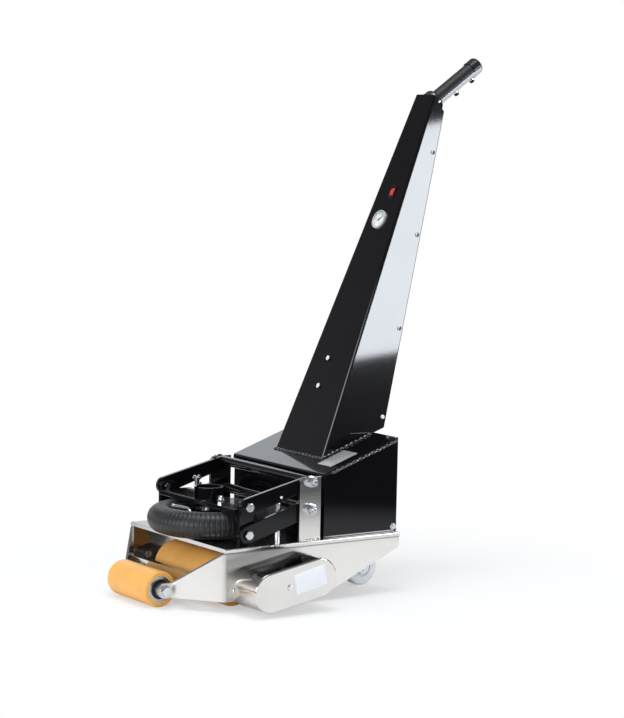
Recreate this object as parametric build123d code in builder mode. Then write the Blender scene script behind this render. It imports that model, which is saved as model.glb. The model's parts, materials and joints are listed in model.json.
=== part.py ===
from build123d import *
import os
from math import asin, atan2, cos, hypot, pi, radians, sin, tan

os.makedirs("parts", exist_ok=True)

# Walk-behind roller mover: a steel chassis on a front roller, a driven roller and two castors, with a
# battery box, a leaning column with its handle, and a parallel-arm coupling head over a flat wheel.
# Sizes are millimetres. X points forwards to the front roller, Y to the left side with the chain case,
# Z up. The origin lies on the floor below the middle of the whole machine. Places along the machine are
# measured from the deck's front edge, and places across it from the chassis's middle plane.

# Clearances
running_fit = 0.05
bolt_fit = 0.15
open_pivot_fit = 0.4
air_gap = 0.4
side_play = 1.0

# Chassis
deck_length = 426.0
deck_width = 368.0
deck_top = 126.0
deck_thickness = 8.0
deck_edge_round = 2.0
plate_thickness = 5.0
side_inset = 2.0
side_bottom = 20.5
rear_bottom = 96.0
rear_rise_length = 168.0
cheek_length = 66.0
tab_spread = 188.0
tab_radius = 15.0
plate_bend = 8.0
cross_plate_front = 40.0
cross_plate_bottom = 25.0
cross_plate_top = 70.0
cross_plate_thickness = 4.0
cross_flange = 14.0

# Front roller
axle_reach = 82.0
front_roller_d = 72.0
front_roller_length = 150.0
front_roller_round = 4.0
front_core_d = 52.0
front_core_bore = 40.0
bearing_d = 47.0
bearing_bore = 20.0
bearing_width = 14.0
bearing_recess = 1.0
seal_depth = 0.8
axle_shoulder_d = 30.0

# Drive roller and its shaft
drive_axis_back = 52.0
drive_roller_d = 100.0
drive_roller_length = 230.0
drive_roller_offset = 23.0
drive_roller_round = 5.0
drive_core_d = 76.0
drive_core_wall = 6.0
core_disc_thickness = 10.0
core_disc_inset = 8.0
shaft_d = 25.0
flange_thickness = 18.0
flange_hub_d = 50.0
flange_ear_d = 18.0
flange_bolt_reach = 28.0
bearing_angle = 20.0

# Chain drive
chain_pitch = 12.7
sprocket_teeth = 12
chain_run_pitches = 9
chain_rise = 10.3
chain_plane = 44.0
chain_roller_d = 8.5
chain_plate_height = 11.5
chain_plate_thickness = 1.5
chain_inner_width = 8.0
sprocket_width = 7.0
sprocket_hub_d = 32.0
sprocket_hub_length = 14.0
tooth_height = 1.2

# Chain case
case_radius = 39.5
case_depth = 92.0
case_wall = 2.0
case_edge_round = 3.0
case_stud_d = 14.0
case_stud_set = 42.0
case_lug_width = 14.0
case_lug_depth = 18.0
case_lug_thickness = 3.0
case_lug_angle = -8.6

# Gear motor
gearbox_d = 86.0
gearbox_length = 50.0
motor_d = 78.0
motor_length = 130.0
motor_cap_d = 60.0
motor_cap_length = 14.0
motor_shaft_d = 16.0
motor_shaft_entry = 30.0
motor_bolt_circle = 56.0

# Battery box
box_bracket_gap = 11.0
box_overhang = 2.0
box_width = 336.0
box_front_height = 131.0
box_rear_height = 195.0
box_wall = 3.0
lid_thickness = 4.0
lid_lip = 9.0
lid_overhang = 3.0
lid_round = 4.0
battery_side_gap = 12.0
battery_depth = 100.0
battery_height = 95.0
battery_gap = 6.0
terminal_d = 12.0
terminal_height = 8.0

# Column
column_foot_set = 49.0
column_foot_depth = 160.0
column_foot_width = 173.6
column_lean = 310.0
column_top_height = 1029.0
column_top_depth = 44.0
column_top_width = 65.4
column_wall = 2.5
column_bend = 5.0
cover_thickness = 2.0
cover_flange = 18.0
cover_screw_edge = 9.0
cover_screw_rises = (20.0, 204.0, 400.0, 574.0)
controller_width = 70.0
controller_length = 120.0
controller_depth = 35.0
controller_along = 181.0
controller_across = -10.0
controller_screw_spacing = 62.0

# Gauge and switch, placed along and across the column's front face
gauge_along = 527.0
gauge_across = -3.0
gauge_bezel_d = 42.0
gauge_bezel_height = 5.0
gauge_body_d = 37.0
gauge_body_depth = 24.0
gauge_window_d = 35.0
gauge_floor = 1.0
dial_thickness = 0.8
needle_length = 14.0
needle_tail = 5.0
needle_width = 1.6
needle_thickness = 0.6
needle_hub_d = 4.5
needle_pin_d = 1.6
needle_angle = 42.0
lens_thickness = 1.2
switch_along = 592.0
switch_across = 8.0
switch_length = 28.0
switch_width = 16.0
switch_rim = 1.0
switch_frame_height = 2.0
switch_frame_depth = 14.0
rocker_length = 21.0
rocker_swing_gap = 0.8
rocker_width = 11.0
rocker_tilt = 10.0
rocker_rise = 4.2
rocker_pin_d = 3.0

# Handle
handle_angle = 35.0
handle_drop = 2.0
handle_tube_d = 32.0
handle_tube_wall = 2.5
handle_tube_length = 147.0
handle_socket_d = 50.0
handle_socket_length = 19.0
handle_socket_round = 8.0
cap_d = 36.5
cap_start = 130.0
cap_end = 155.0
cap_round = 7.0
button_places = {"button_forward": 72.0, "button_reverse": 122.5}
button_cap_d = 11.0
button_cap_height = 5.0
button_stem_d = 4.0
button_stem_depth = 5.0
button_travel = 1.5
switch_body = 11.0
switch_body_height = 8.0
switch_bush_d = 9.0
switch_ring_d = 13.0
switch_ring_height = 2.5

# Linkage
rear_pivot_back = 209.0
arm_deck_gap = 1.9
pivot_spacing = 56.0
arm_length = 150.0
arm_droop = 16.7
arm_radius = 18.0
upper_arm_rear_radius = 13.0
upper_arm_rear_set = 3.5
arm_thickness = 8.0
cross_tube_d = 20.0
pivot_d = 12.0
bracket_front_margin = 26.0
bracket_rear_margin = 25.0
bracket_top_margin = 9.0
bracket_thickness = 6.0
bracket_chamfer = 8.0
rod_standout = 18.0
rod_round = 3.0
guide_post_d = 12.0
guide_post_set = 65.0
guide_post_rise = 79.0

# Coupling head
head_width = 310.0
head_side_thickness = 10.0
head_side_front = 16.0
head_side_rear = 18.0
head_side_rise = 10.1
head_plate_drop = 16.0
head_plate_thickness = 6.0
head_plate_front = 45.0
head_plate_length = 73.0
head_lip = 10.0
coupling_back = 75.0
coupling_tube_d = 60.3
coupling_tube_wall = 4.1
coupling_tube_rise = 25.5
coupling_slot = 12.0
coupling_rim = 1.2
flange_bolt_across = 62.0
flange_bolt_along = 10.0
wing_bolt_d = 10.0
wing_bolt_rise = 29.0
wing_hub_d = 12.5
wing_hub_height = 6.0
wing_span = 19.0
wing_thickness = 4.0
wing_height = 8.0

# Flat wheel under the coupling head
tyre_d = 250.0
tyre_width = 55.0
tyre_bead_d = 126.0
tyre_bead_width = 36.0
tyre_deck_gap = 2.5
rim_flange_d = 152.0
rim_flange_width = 3.0
rim_band = 4.0
wheel_hub_d = 54.0
wheel_hub_length = 40.0
spoke_count = 5
spoke_width = 16.0
spoke_thickness = 14.0
wheel_bearing_d = 42.0
wheel_bearing_bore = 20.0
wheel_bearing_width = 12.0
axle_flange_thickness = 6.0
axle_flange_d = 48.0
axle_ear_d = 24.0
axle_nut_height = 5.0

# Castors
castor_set = 54.0
castor_spread = 146.0
castor_plate_length = 90.0
castor_plate_width = 80.0
castor_plate_thickness = 5.0
castor_race_d = 56.0
castor_race_height = 8.0
castor_pin_d = 14.0
castor_pin_head_d = 22.0
castor_pin_head = 5.0
castor_trail = 32.0
castor_wheel_d = 76.0
castor_wheel_width = 26.0
castor_wheel_round = 5.0
castor_hub_d = 40.0
castor_hub_recess = 3.0
castor_axle_d = 10.0
fork_disc_d = 58.0
fork_disc_thickness = 6.0
fork_wall = 3.0
fork_end_radius = 13.0
fork_gap = 3.0

# Fasteners
m12_across = 19.0
m12_head = 7.5
m12_nut = 10.0
m12_washer_d = 24.0
m12_washer = 2.5
m10_across = 17.0
m10_head = 6.4
m8_d = 8.0
m8_across = 13.0
m8_head = 5.5
m8_nut = 8.0
m8_cap_height = 15.0
m6_d = 6.0
m6_across = 10.0
m6_head = 4.0
axle_bolt_depth = 22.0
cover_screw_d = 5.0
cover_screw_head_d = 9.0
cover_screw_head = 3.5
cover_screw_length = 9.0
case_screw_head_d = 12.0
case_screw_head = 3.0
case_screw_length = 12.0

# Places worked out from the sizes above
deck_bottom = deck_top - deck_thickness
side_face = deck_width / 2 - side_inset
side_inner = side_face - plate_thickness
front_axle_height = front_roller_d / 2
drive_axis = (-drive_axis_back, drive_roller_d / 2)
chain_run = chain_pitch * chain_run_pitches
motor_axis = (
    drive_axis[0] - chain_run * cos(radians(chain_rise)),
    drive_axis[1] + chain_run * sin(radians(chain_rise)),
)
sprocket_radius = chain_pitch / (2 * sin(pi / sprocket_teeth))
chain_y = side_face + chain_plane
case_face = side_face + case_depth

rear_pivot_x = -rear_pivot_back
front_pivot_x = rear_pivot_x + arm_length * cos(radians(arm_droop))
arm_drop = arm_length * sin(radians(arm_droop))
lower_pivot_height = deck_top + arm_deck_gap + arm_radius + arm_drop
upper_pivot_height = lower_pivot_height + pivot_spacing
bracket_front = rear_pivot_x + bracket_front_margin
bracket_rear = rear_pivot_x - bracket_rear_margin
bracket_height = upper_pivot_height + bracket_top_margin - deck_top

box_front = bracket_rear - box_bracket_gap
box_rear = -deck_length - box_overhang
box_length = box_front - box_rear
box_front_top = deck_top + box_front_height
box_rear_top = deck_top + box_rear_height
lid_slope = (box_rear_top - box_front_top) / box_length

foot_front = (box_front - column_foot_set, box_front_top + lid_slope * column_foot_set)
foot_rear_back = column_foot_depth - foot_front[0]
foot_rear = (-foot_rear_back, box_front_top + lid_slope * (foot_rear_back + box_front))
top_front = (foot_front[0] - column_lean, column_top_height)
handle_down = (-sin(radians(handle_angle)), -cos(radians(handle_angle)))
top_rear = (
    top_front[0] + column_top_depth * handle_down[0],
    top_front[1] + column_top_depth * handle_down[1],
)
handle_foot = (
    (top_front[0] + top_rear[0]) / 2 + handle_drop * handle_down[0],
    (top_front[1] + top_rear[1]) / 2 + handle_drop * handle_down[1],
)
handle_bore_d = handle_tube_d - 2 * handle_tube_wall

arm_inner = head_width / 2 + side_play
arm_outer = arm_inner + arm_thickness
bracket_inner = arm_outer + side_play
bracket_outer = bracket_inner + bracket_thickness
rod_end = bracket_outer + rod_standout
head_side_top = upper_pivot_height - arm_drop + head_side_rise
head_plate_top = head_side_top - head_plate_drop
wheel_height = deck_top + tyre_deck_gap + tyre_width / 2
head_plate_bottom = head_plate_top - head_plate_thickness
axle_flange_bottom = head_plate_bottom - axle_flange_thickness

castor_x = castor_set - deck_length
castor_axle_x = castor_x - castor_trail
castor_axle_height = castor_wheel_d / 2
castor_plate_bottom = deck_bottom - castor_plate_thickness
castor_race_bottom = castor_plate_bottom - castor_race_height
fork_disc_top = castor_race_bottom - air_gap
fork_disc_bottom = fork_disc_top - fork_disc_thickness

# The machine's reach from the deck's front edge and middle plane sets where the origin falls
front_reach = axle_reach + front_roller_d / 2
cap_corner = (cap_d / 2 - cap_round) * sin(radians(handle_angle)) + cap_round
rear_reach = -handle_foot[0] + (cap_end - cap_round) * cos(radians(handle_angle)) + cap_corner
left_reach = case_face + case_screw_head
right_reach = rod_end
deck_front_x = (rear_reach - front_reach) / 2
middle_y = (right_reach - left_reach) / 2


def side_view(y):
    """Upright plane along the machine at y: local x forwards, local y up, extrusions run to the right."""
    return Plane(origin=(deck_front_x, middle_y + y, 0), x_dir=(1, 0, 0), z_dir=(0, -1, 0))


def plan_view(z):
    """Level plane at height z: local x forwards, local y to the left, extrusions run upwards."""
    return Plane(origin=(deck_front_x, middle_y, z))


def front_view(x):
    """Upright plane across the machine at x: local x to the left, local y up, extrusions run forwards."""
    return Plane(origin=(deck_front_x + x, middle_y, 0), x_dir=(0, 1, 0), z_dir=(1, 0, 0))


def facing_out(side, x, y, z):
    """Plane on the left (side 1) or right (side -1), y from the middle, that faces away from it."""
    return Plane(
        origin=(deck_front_x + x, middle_y + side * y, z), x_dir=(1, 0, 0), z_dir=(0, side, 0)
    )


def facing_up(x, y, z):
    """Level plane at a point of the machine."""
    return Plane(origin=(deck_front_x + x, middle_y + y, z))


def column_half_width(z):
    """Half the column's width at height z, between its foot and its top."""
    share = (z - foot_front[1]) / (top_front[1] - foot_front[1])
    return (column_foot_width + (column_top_width - column_foot_width) * share) / 2


def write(piece, name):
    """Label a finished piece and write it as its own file."""
    piece.part.label = name
    export_step(piece.part, f"parts/{name}.step")


# Fastener shapes, each with its head above the local plane and its shank below

def crown_cone(across, height):
    """Cone that takes the corners off a hexagon's upper face at 30 degrees, to leave a round crown."""
    crown = across * 0.475
    base = crown + height / tan(radians(30))
    Cone(base, crown, height, align=(Align.CENTER, Align.CENTER, Align.MIN), mode=Mode.INTERSECT)


def hex_bolt(across, head, shank_d, length):
    with BuildPart() as bolt:
        with BuildSketch():
            RegularPolygon(radius=across / 2, side_count=6, major_radius=False)
        extrude(amount=head)
        crown_cone(across, head)
        with BuildSketch():
            Circle(shank_d / 2)
        extrude(amount=-length)
    return bolt.part


def hex_nut(across, height, bore_d):
    with BuildPart() as nut:
        with BuildSketch():
            RegularPolygon(radius=across / 2, side_count=6, major_radius=False)
            Circle(bore_d / 2, mode=Mode.SUBTRACT)
        extrude(amount=height)
        crown_cone(across, height)
    return nut.part


def washer(outer_d, bore_d, thickness):
    with BuildPart() as ring:
        with BuildSketch():
            Circle(outer_d / 2)
            Circle(bore_d / 2, mode=Mode.SUBTRACT)
        extrude(amount=thickness)
    return ring.part


def cap_nut(across, hexagon, height, shank_d, length):
    with BuildPart() as nut:
        with BuildSketch():
            RegularPolygon(radius=across / 2, side_count=6, major_radius=False)
        extrude(amount=hexagon)
        with BuildSketch():
            Circle(across * 0.46)
        extrude(amount=height)
        fillet(nut.faces().sort_by(Axis.Z)[-1].edges(), (height - hexagon) * 0.75)
        with BuildSketch():
            Circle(shank_d / 2)
        extrude(amount=-length)
    return nut.part


def dome_screw(head_d, head, shank_d, length):
    with BuildPart() as screw:
        with BuildSketch():
            Circle(head_d / 2)
        extrude(amount=head)
        fillet(screw.faces().sort_by(Axis.Z)[-1].edges(), head * 0.6)
        with BuildSketch():
            Circle(shank_d / 2)
        extrude(amount=-length)
    return screw.part


# Deck plate with its rounded rim
with BuildPart() as deck_plate:
    with BuildSketch(plan_view(deck_bottom)):
        with Locations((-deck_length / 2, 0)):
            Rectangle(deck_length, deck_width)
    extrude(amount=deck_thickness)
    fillet(deck_plate.edges().filter_by(Axis.X).group_by(Axis.Z)[-1], deck_edge_round)
write(deck_plate, "deck_plate")

# Side plates: one bent sheet a side, cut to its outline seen from the side
tab_tip = axle_reach + tab_radius
sheet_middle = side_face - plate_thickness / 2
tab_middle = tab_spread / 2 - plate_thickness / 2
tab_inner = tab_spread / 2 - plate_thickness
case_back = Plane(
    origin=side_view(side_face).from_local_coords((drive_axis[0], drive_axis[1], 0)),
    x_dir=(-cos(radians(chain_rise)), 0, sin(radians(chain_rise))),
    z_dir=(0, -1, 0),
)
bearing_bolt_places = [
    (
        drive_axis[0] + sign * flange_bolt_reach * cos(radians(bearing_angle)),
        drive_axis[1] + sign * flange_bolt_reach * sin(radians(bearing_angle)),
    )
    for sign in (1, -1)
]
motor_bolt_places = [
    (
        motor_axis[0] + motor_bolt_circle / 2 * cos(radians(45 + 90 * k)),
        motor_axis[1] + motor_bolt_circle / 2 * sin(radians(45 + 90 * k)),
    )
    for k in range(4)
]
stud_place = (
    drive_axis[0] - case_stud_set * cos(radians(chain_rise)),
    drive_axis[1] + case_stud_set * sin(radians(chain_rise)),
)
lug_direction = (cos(radians(case_lug_angle)), sin(radians(case_lug_angle)))

for side, name in ((1, "side_plate_left"), (-1, "side_plate_right")):
    with BuildPart() as side_plate:
        with BuildSketch(plan_view(0)):
            with BuildLine():
                FilletPolyline(
                    (-deck_length, side * sheet_middle),
                    (0, side * sheet_middle),
                    (cheek_length, side * tab_middle),
                    (tab_tip, side * tab_middle),
                    radius=plate_bend,
                )
            trace(line_width=plate_thickness)
        extrude(amount=deck_bottom)
        with BuildSketch(side_view(0)):
            with BuildLine():
                low = Polyline(
                    (axle_reach, front_axle_height + tab_radius),
                    (cheek_length, front_axle_height + tab_radius),
                    (0, deck_bottom),
                    (-deck_length, deck_bottom),
                    (-deck_length, rear_bottom),
                    (-deck_length + rear_rise_length, side_bottom),
                    (axle_reach, front_axle_height - tab_radius),
                )
                ThreePointArc(low @ 1, (tab_tip, front_axle_height), low @ 0)
            make_face()
        extrude(amount=deck_width, both=True, mode=Mode.INTERSECT)
        if side == 1:
            with BuildSketch(case_back):
                with Locations((chain_run / 2, 0)):
                    SlotCenterToCenter(chain_run, 2 * case_radius)
            extrude(amount=plate_thickness)
            lug_plane = Plane(
                origin=side_view(side_face).from_local_coords((drive_axis[0], drive_axis[1], 0)),
                x_dir=(lug_direction[0], 0, lug_direction[1]),
                z_dir=(0, -1, 0),
            )
            with BuildSketch(lug_plane):
                with Locations((case_radius - case_wall - case_lug_thickness, 0)):
                    Rectangle(case_lug_thickness, case_lug_width)
            extrude(amount=-case_lug_depth)
        with BuildSketch(side_view(side * side_face)):
            with Locations(drive_axis):
                Circle(shaft_d / 2 + side_play)
            with Locations(*bearing_bolt_places):
                Circle(m8_d / 2 + bolt_fit)
            if side == 1:
                with Locations(motor_axis):
                    Circle(motor_shaft_d / 2 + side_play)
                with Locations(*motor_bolt_places):
                    Circle(m6_d / 2 + bolt_fit)
        extrude(amount=plate_thickness * side, mode=Mode.SUBTRACT)
        with BuildSketch(side_view(side * tab_spread / 2)):
            with Locations((axle_reach, front_axle_height)):
                Circle(pivot_d / 2 + bolt_fit)
        extrude(amount=plate_thickness * side, mode=Mode.SUBTRACT)
        if side == 1:
            with Locations(
                Plane(
                    origin=lug_plane.from_local_coords((case_radius, 0, -case_lug_depth * 0.7)),
                    z_dir=(lug_direction[0], 0, lug_direction[1]),
                )
            ):
                Cylinder(m6_d / 2 + bolt_fit, 2 * case_screw_length, mode=Mode.SUBTRACT)
    write(side_plate, name)

# Cross plate: an angle between the cheeks, cut to their slant
cheek_run = hypot(cheek_length, sheet_middle - tab_middle)
cheek_slope = (sheet_middle - tab_middle) / cheek_length
cheek_offset = plate_thickness / 2 * cheek_run / cheek_length


def cheek_inside(x):
    """Half the width between the cheeks' inner faces at x."""
    return sheet_middle - x * cheek_slope - cheek_offset


with BuildPart() as cross_plate:
    for rear, low, high in (
        (cross_plate_front - cross_plate_thickness, cross_plate_bottom, cross_plate_top),
        (cross_plate_front - cross_flange, cross_plate_top - cross_plate_thickness, cross_plate_top),
    ):
        with BuildSketch(plan_view(low)):
            with BuildLine():
                Polyline(
                    (rear, cheek_inside(rear)),
                    (cross_plate_front, cheek_inside(cross_plate_front)),
                    (cross_plate_front, -cheek_inside(cross_plate_front)),
                    (rear, -cheek_inside(rear)),
                    close=True,
                )
            make_face()
        extrude(amount=high - low)
write(cross_plate, "cross_plate")

# Front roller: tyre, core and sealed bearings, which turn together on the fixed axle
front_half = front_roller_length / 2
with BuildPart() as front_roller_tyre:
    with BuildSketch(side_view(front_half)):
        with Locations((axle_reach, front_axle_height)):
            Circle(front_roller_d / 2)
            Circle(front_core_d / 2, mode=Mode.SUBTRACT)
    extrude(amount=front_roller_length)
    rims = front_roller_tyre.edges().filter_by(GeomType.CIRCLE).group_by(SortBy.RADIUS)[-1]
    fillet(rims, front_roller_round)
write(front_roller_tyre, "front_roller_tyre")

with BuildPart() as front_roller_core:
    with BuildSketch(side_view(front_half)):
        with Locations((axle_reach, front_axle_height)):
            Circle(front_core_d / 2)
            Circle(front_core_bore / 2, mode=Mode.SUBTRACT)
    extrude(amount=front_roller_length)
    for end in (1, -1):
        with BuildSketch(side_view(end * front_half)):
            with Locations((axle_reach, front_axle_height)):
                Circle(bearing_d / 2)
        extrude(amount=end * (bearing_width + bearing_recess), mode=Mode.SUBTRACT)
write(front_roller_core, "front_roller_core")

bearing_face = front_half - bearing_recess
with BuildPart() as front_roller_bearings:
    for end in (1, -1):
        with BuildSketch(side_view(end * bearing_face)):
            with Locations((axle_reach, front_axle_height)):
                Circle(bearing_d / 2)
                Circle(bearing_bore / 2 + running_fit, mode=Mode.SUBTRACT)
        extrude(amount=end * bearing_width)
        with BuildSketch(side_view(end * bearing_face)):
            with Locations((axle_reach, front_axle_height)):
                Circle(bearing_d / 2 - bearing_width / 4)
                Circle(bearing_bore / 2 + bearing_width / 4, mode=Mode.SUBTRACT)
        extrude(amount=end * seal_depth, mode=Mode.SUBTRACT)
write(front_roller_bearings, "front_roller_bearings")

with BuildPart() as front_axle:
    with BuildSketch(side_view(tab_inner)):
        with Locations((axle_reach, front_axle_height)):
            Circle(bearing_bore / 2)
    extrude(amount=2 * tab_inner)
    for end in (1, -1):
        with BuildSketch(side_view(end * tab_inner)):
            with Locations((axle_reach, front_axle_height)):
                Circle(axle_shoulder_d / 2)
        extrude(amount=end * (tab_inner - bearing_face - air_gap))
        with BuildSketch(side_view(end * tab_inner)):
            with Locations((axle_reach, front_axle_height)):
                Circle(pivot_d / 2)
        extrude(amount=end * axle_bolt_depth, mode=Mode.SUBTRACT)
write(front_axle, "front_axle")

# Drive roller: tyre and core turn with the shaft, which runs in a flange bearing on each side plate
drive_left = drive_roller_offset + drive_roller_length / 2
with BuildPart() as drive_roller_tyre:
    with BuildSketch(side_view(drive_left)):
        with Locations(drive_axis):
            Circle(drive_roller_d / 2)
            Circle(drive_core_d / 2, mode=Mode.SUBTRACT)
    extrude(amount=drive_roller_length)
    rims = drive_roller_tyre.edges().filter_by(GeomType.CIRCLE).group_by(SortBy.RADIUS)[-1]
    fillet(rims, drive_roller_round)
write(drive_roller_tyre, "drive_roller_tyre")

with BuildPart() as drive_roller_core:
    with BuildSketch(side_view(drive_left)):
        with Locations(drive_axis):
            Circle(drive_core_d / 2)
            Circle(drive_core_d / 2 - drive_core_wall, mode=Mode.SUBTRACT)
    extrude(amount=drive_roller_length)
    first_disc = drive_left - core_disc_inset
    second_disc = drive_left - drive_roller_length + core_disc_inset + core_disc_thickness
    for disc_left in (first_disc, second_disc):
        with BuildSketch(side_view(disc_left)):
            with Locations(drive_axis):
                Circle(drive_core_d / 2)
                Circle(shaft_d / 2, mode=Mode.SUBTRACT)
        extrude(amount=core_disc_thickness)
write(drive_roller_core, "drive_roller_core")

shaft_left = chain_y + sprocket_width / 2
with BuildPart() as drive_shaft:
    with BuildSketch(side_view(shaft_left)):
        with Locations(drive_axis):
            Circle(shaft_d / 2)
    extrude(amount=shaft_left + side_inner)
write(drive_shaft, "drive_shaft")

with BuildPart() as shaft_bearings:
    for side in (1, -1):
        with BuildSketch(side_view(side * side_inner)):
            with Locations(drive_axis):
                Circle(flange_hub_d / 2)
            with Locations(*bearing_bolt_places):
                Circle(flange_ear_d / 2)
            make_hull()
            with Locations(drive_axis):
                Circle(shaft_d / 2 + running_fit, mode=Mode.SUBTRACT)
            with Locations(*bearing_bolt_places):
                Circle(m8_d / 2 + bolt_fit, mode=Mode.SUBTRACT)
        extrude(amount=side * flange_thickness)
write(shaft_bearings, "shaft_bearings")

# Gear motor under the deck, with the output shaft as a piece of its own
with BuildPart() as gear_motor:
    with BuildSketch(side_view(side_inner)):
        with Locations(motor_axis):
            Circle(gearbox_d / 2)
    extrude(amount=gearbox_length)
    with BuildSketch(side_view(side_inner - gearbox_length)):
        with Locations(motor_axis):
            Circle(motor_d / 2)
    extrude(amount=motor_length)
    with BuildSketch(side_view(side_inner - gearbox_length - motor_length)):
        with Locations(motor_axis):
            Circle(motor_cap_d / 2)
    extrude(amount=motor_cap_length)
    with BuildSketch(side_view(side_inner)):
        with Locations(motor_axis):
            Circle(motor_shaft_d / 2 + running_fit)
    extrude(amount=motor_shaft_entry + air_gap, mode=Mode.SUBTRACT)
    with BuildSketch(side_view(side_inner)):
        with Locations(*motor_bolt_places):
            Circle(m6_d / 2 + bolt_fit)
    extrude(amount=case_screw_length + air_gap, mode=Mode.SUBTRACT)
write(gear_motor, "gear_motor")

with BuildPart() as motor_shaft:
    with BuildSketch(side_view(shaft_left)):
        with Locations(motor_axis):
            Circle(motor_shaft_d / 2)
    extrude(amount=shaft_left - side_inner + motor_shaft_entry)
write(motor_shaft, "motor_shaft")

# Sprockets: a disc with a round seat for each chain roller, and a hub towards the chassis
seat_radius = chain_roller_d / 2 + 2 * air_gap


def sprocket(axis, bore_d):
    sprocket_plane = Plane(
        origin=side_view(shaft_left).from_local_coords((axis[0], axis[1], 0)),
        x_dir=(-cos(radians(chain_rise)), 0, sin(radians(chain_rise))),
        z_dir=(0, -1, 0),
    )
    with BuildPart() as wheel:
        with BuildSketch(sprocket_plane):
            Circle(sprocket_radius + tooth_height)
            with PolarLocations(sprocket_radius, sprocket_teeth):
                Circle(seat_radius, mode=Mode.SUBTRACT)
        extrude(amount=sprocket_width)
        with BuildSketch(sprocket_plane.offset(sprocket_width)):
            Circle(sprocket_hub_d / 2)
        extrude(amount=sprocket_hub_length)
        with BuildSketch(sprocket_plane):
            Circle(bore_d / 2)
        extrude(amount=sprocket_width + sprocket_hub_length, mode=Mode.SUBTRACT)
    return wheel


write(sprocket(drive_axis, shaft_d), "drive_sprocket")
write(sprocket(motor_axis, motor_shaft_d), "motor_sprocket")

# Roller chain round both sprockets: one roller at each pitch, between two rows of link plates
chain_plane_left = Plane(
    origin=side_view(chain_y).from_local_coords((drive_axis[0], drive_axis[1], 0)),
    x_dir=(-cos(radians(chain_rise)), 0, sin(radians(chain_rise))),
    z_dir=(0, -1, 0),
)
straight_rollers = [
    (chain_pitch * k, row * sprocket_radius) for k in range(1, chain_run_pitches) for row in (1, -1)
]
with BuildPart() as drive_chain:
    with BuildSketch(chain_plane_left.offset(-chain_inner_width / 2)):
        with Locations(*straight_rollers):
            Circle(chain_roller_d / 2)
        with PolarLocations(sprocket_radius, sprocket_teeth // 2 + 1, start_angle=90, angular_range=210):
            Circle(chain_roller_d / 2)
        with Locations((chain_run, 0)):
            with PolarLocations(sprocket_radius, sprocket_teeth // 2 + 1, start_angle=-90, angular_range=210):
                Circle(chain_roller_d / 2)
    extrude(amount=chain_inner_width)
    for start in (-chain_inner_width / 2 - chain_plate_thickness, chain_inner_width / 2):
        with BuildSketch(chain_plane_left.offset(start)):
            with Locations((chain_run / 2, 0)):
                SlotCenterToCenter(chain_run, 2 * sprocket_radius + chain_plate_height)
                SlotCenterToCenter(chain_run, 2 * sprocket_radius - chain_plate_height, mode=Mode.SUBTRACT)
        extrude(amount=chain_plate_thickness)
write(drive_chain, "drive_chain")

# Chain case: a deep bright cover, open towards the side plate, on one central stud
with BuildPart() as chain_case:
    with BuildSketch(case_back):
        with Locations((chain_run / 2, 0)):
            SlotCenterToCenter(chain_run, 2 * case_radius)
    extrude(amount=-case_depth)
    fillet(chain_case.faces().sort_by(Axis.Y)[-1].edges(), case_edge_round)
    with BuildSketch(case_back):
        with Locations((chain_run / 2, 0)):
            SlotCenterToCenter(chain_run, 2 * (case_radius - case_wall))
    extrude(amount=-(case_depth - case_wall), mode=Mode.SUBTRACT)
    with BuildSketch(side_view(case_face)):
        with Locations(stud_place):
            Circle(m6_d / 2 + bolt_fit)
    extrude(amount=case_wall, mode=Mode.SUBTRACT)
    lug_screw_plane = Plane(
        origin=lug_plane.from_local_coords((case_radius, 0, -case_lug_depth * 0.7)),
        z_dir=(lug_direction[0], 0, lug_direction[1]),
    )
    with Locations(lug_screw_plane):
        Cylinder(m6_d / 2 + bolt_fit, 2 * case_screw_length, mode=Mode.SUBTRACT)
write(chain_case, "chain_case")

# Chassis fasteners: axle bolts with washers, bearing bolts with nuts, motor screws, case stud and screws
axle_bolt_length = m12_washer + plate_thickness + axle_bolt_depth - side_play
axle_bolt = hex_bolt(m12_across, m12_head, pivot_d, axle_bolt_length)
axle_washer = washer(m12_washer_d, pivot_d, m12_washer)
bearing_bolt = hex_bolt(m8_across, m8_head, m8_d, plate_thickness + flange_thickness + m8_across / 2)
bearing_nut = hex_nut(m8_across, m8_head, m8_d)
motor_bolt = hex_bolt(m6_across, m6_head, m6_d, plate_thickness + case_screw_length)
case_screw = dome_screw(case_screw_head_d, case_screw_head, m6_d, case_screw_length)
with BuildPart() as chassis_bolts:
    for side in (1, -1):
        with Locations(facing_out(side, axle_reach, tab_spread / 2, front_axle_height)):
            add(axle_washer)
        with Locations(facing_out(side, axle_reach, tab_spread / 2 + m12_washer, front_axle_height)):
            add(axle_bolt)
        for x, z in bearing_bolt_places:
            with Locations(facing_out(side, x, side_face, z)):
                add(bearing_bolt)
            with Locations(facing_out(side, x, side_inner - flange_thickness - m8_head, z)):
                add(bearing_nut)
    for x, z in motor_bolt_places:
        with Locations(facing_out(1, x, side_face, z)):
            add(motor_bolt)
    with BuildSketch(side_view(case_face - case_wall)):
        with Locations(stud_place):
            RegularPolygon(radius=case_stud_d / 2, side_count=6, major_radius=False)
    extrude(amount=case_depth - case_wall)
    with Locations(facing_out(1, stud_place[0], case_face, stud_place[1]), lug_screw_plane):
        add(case_screw)
write(chassis_bolts, "chassis_bolts")

# Battery box: four walls under a sloping lid with a turned-down front lip
lid_drop = lid_thickness * hypot(1, lid_slope)


def lid_top(x):
    """Height of the lid's upper face at x."""
    return box_front_top + lid_slope * (box_front - x)


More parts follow.
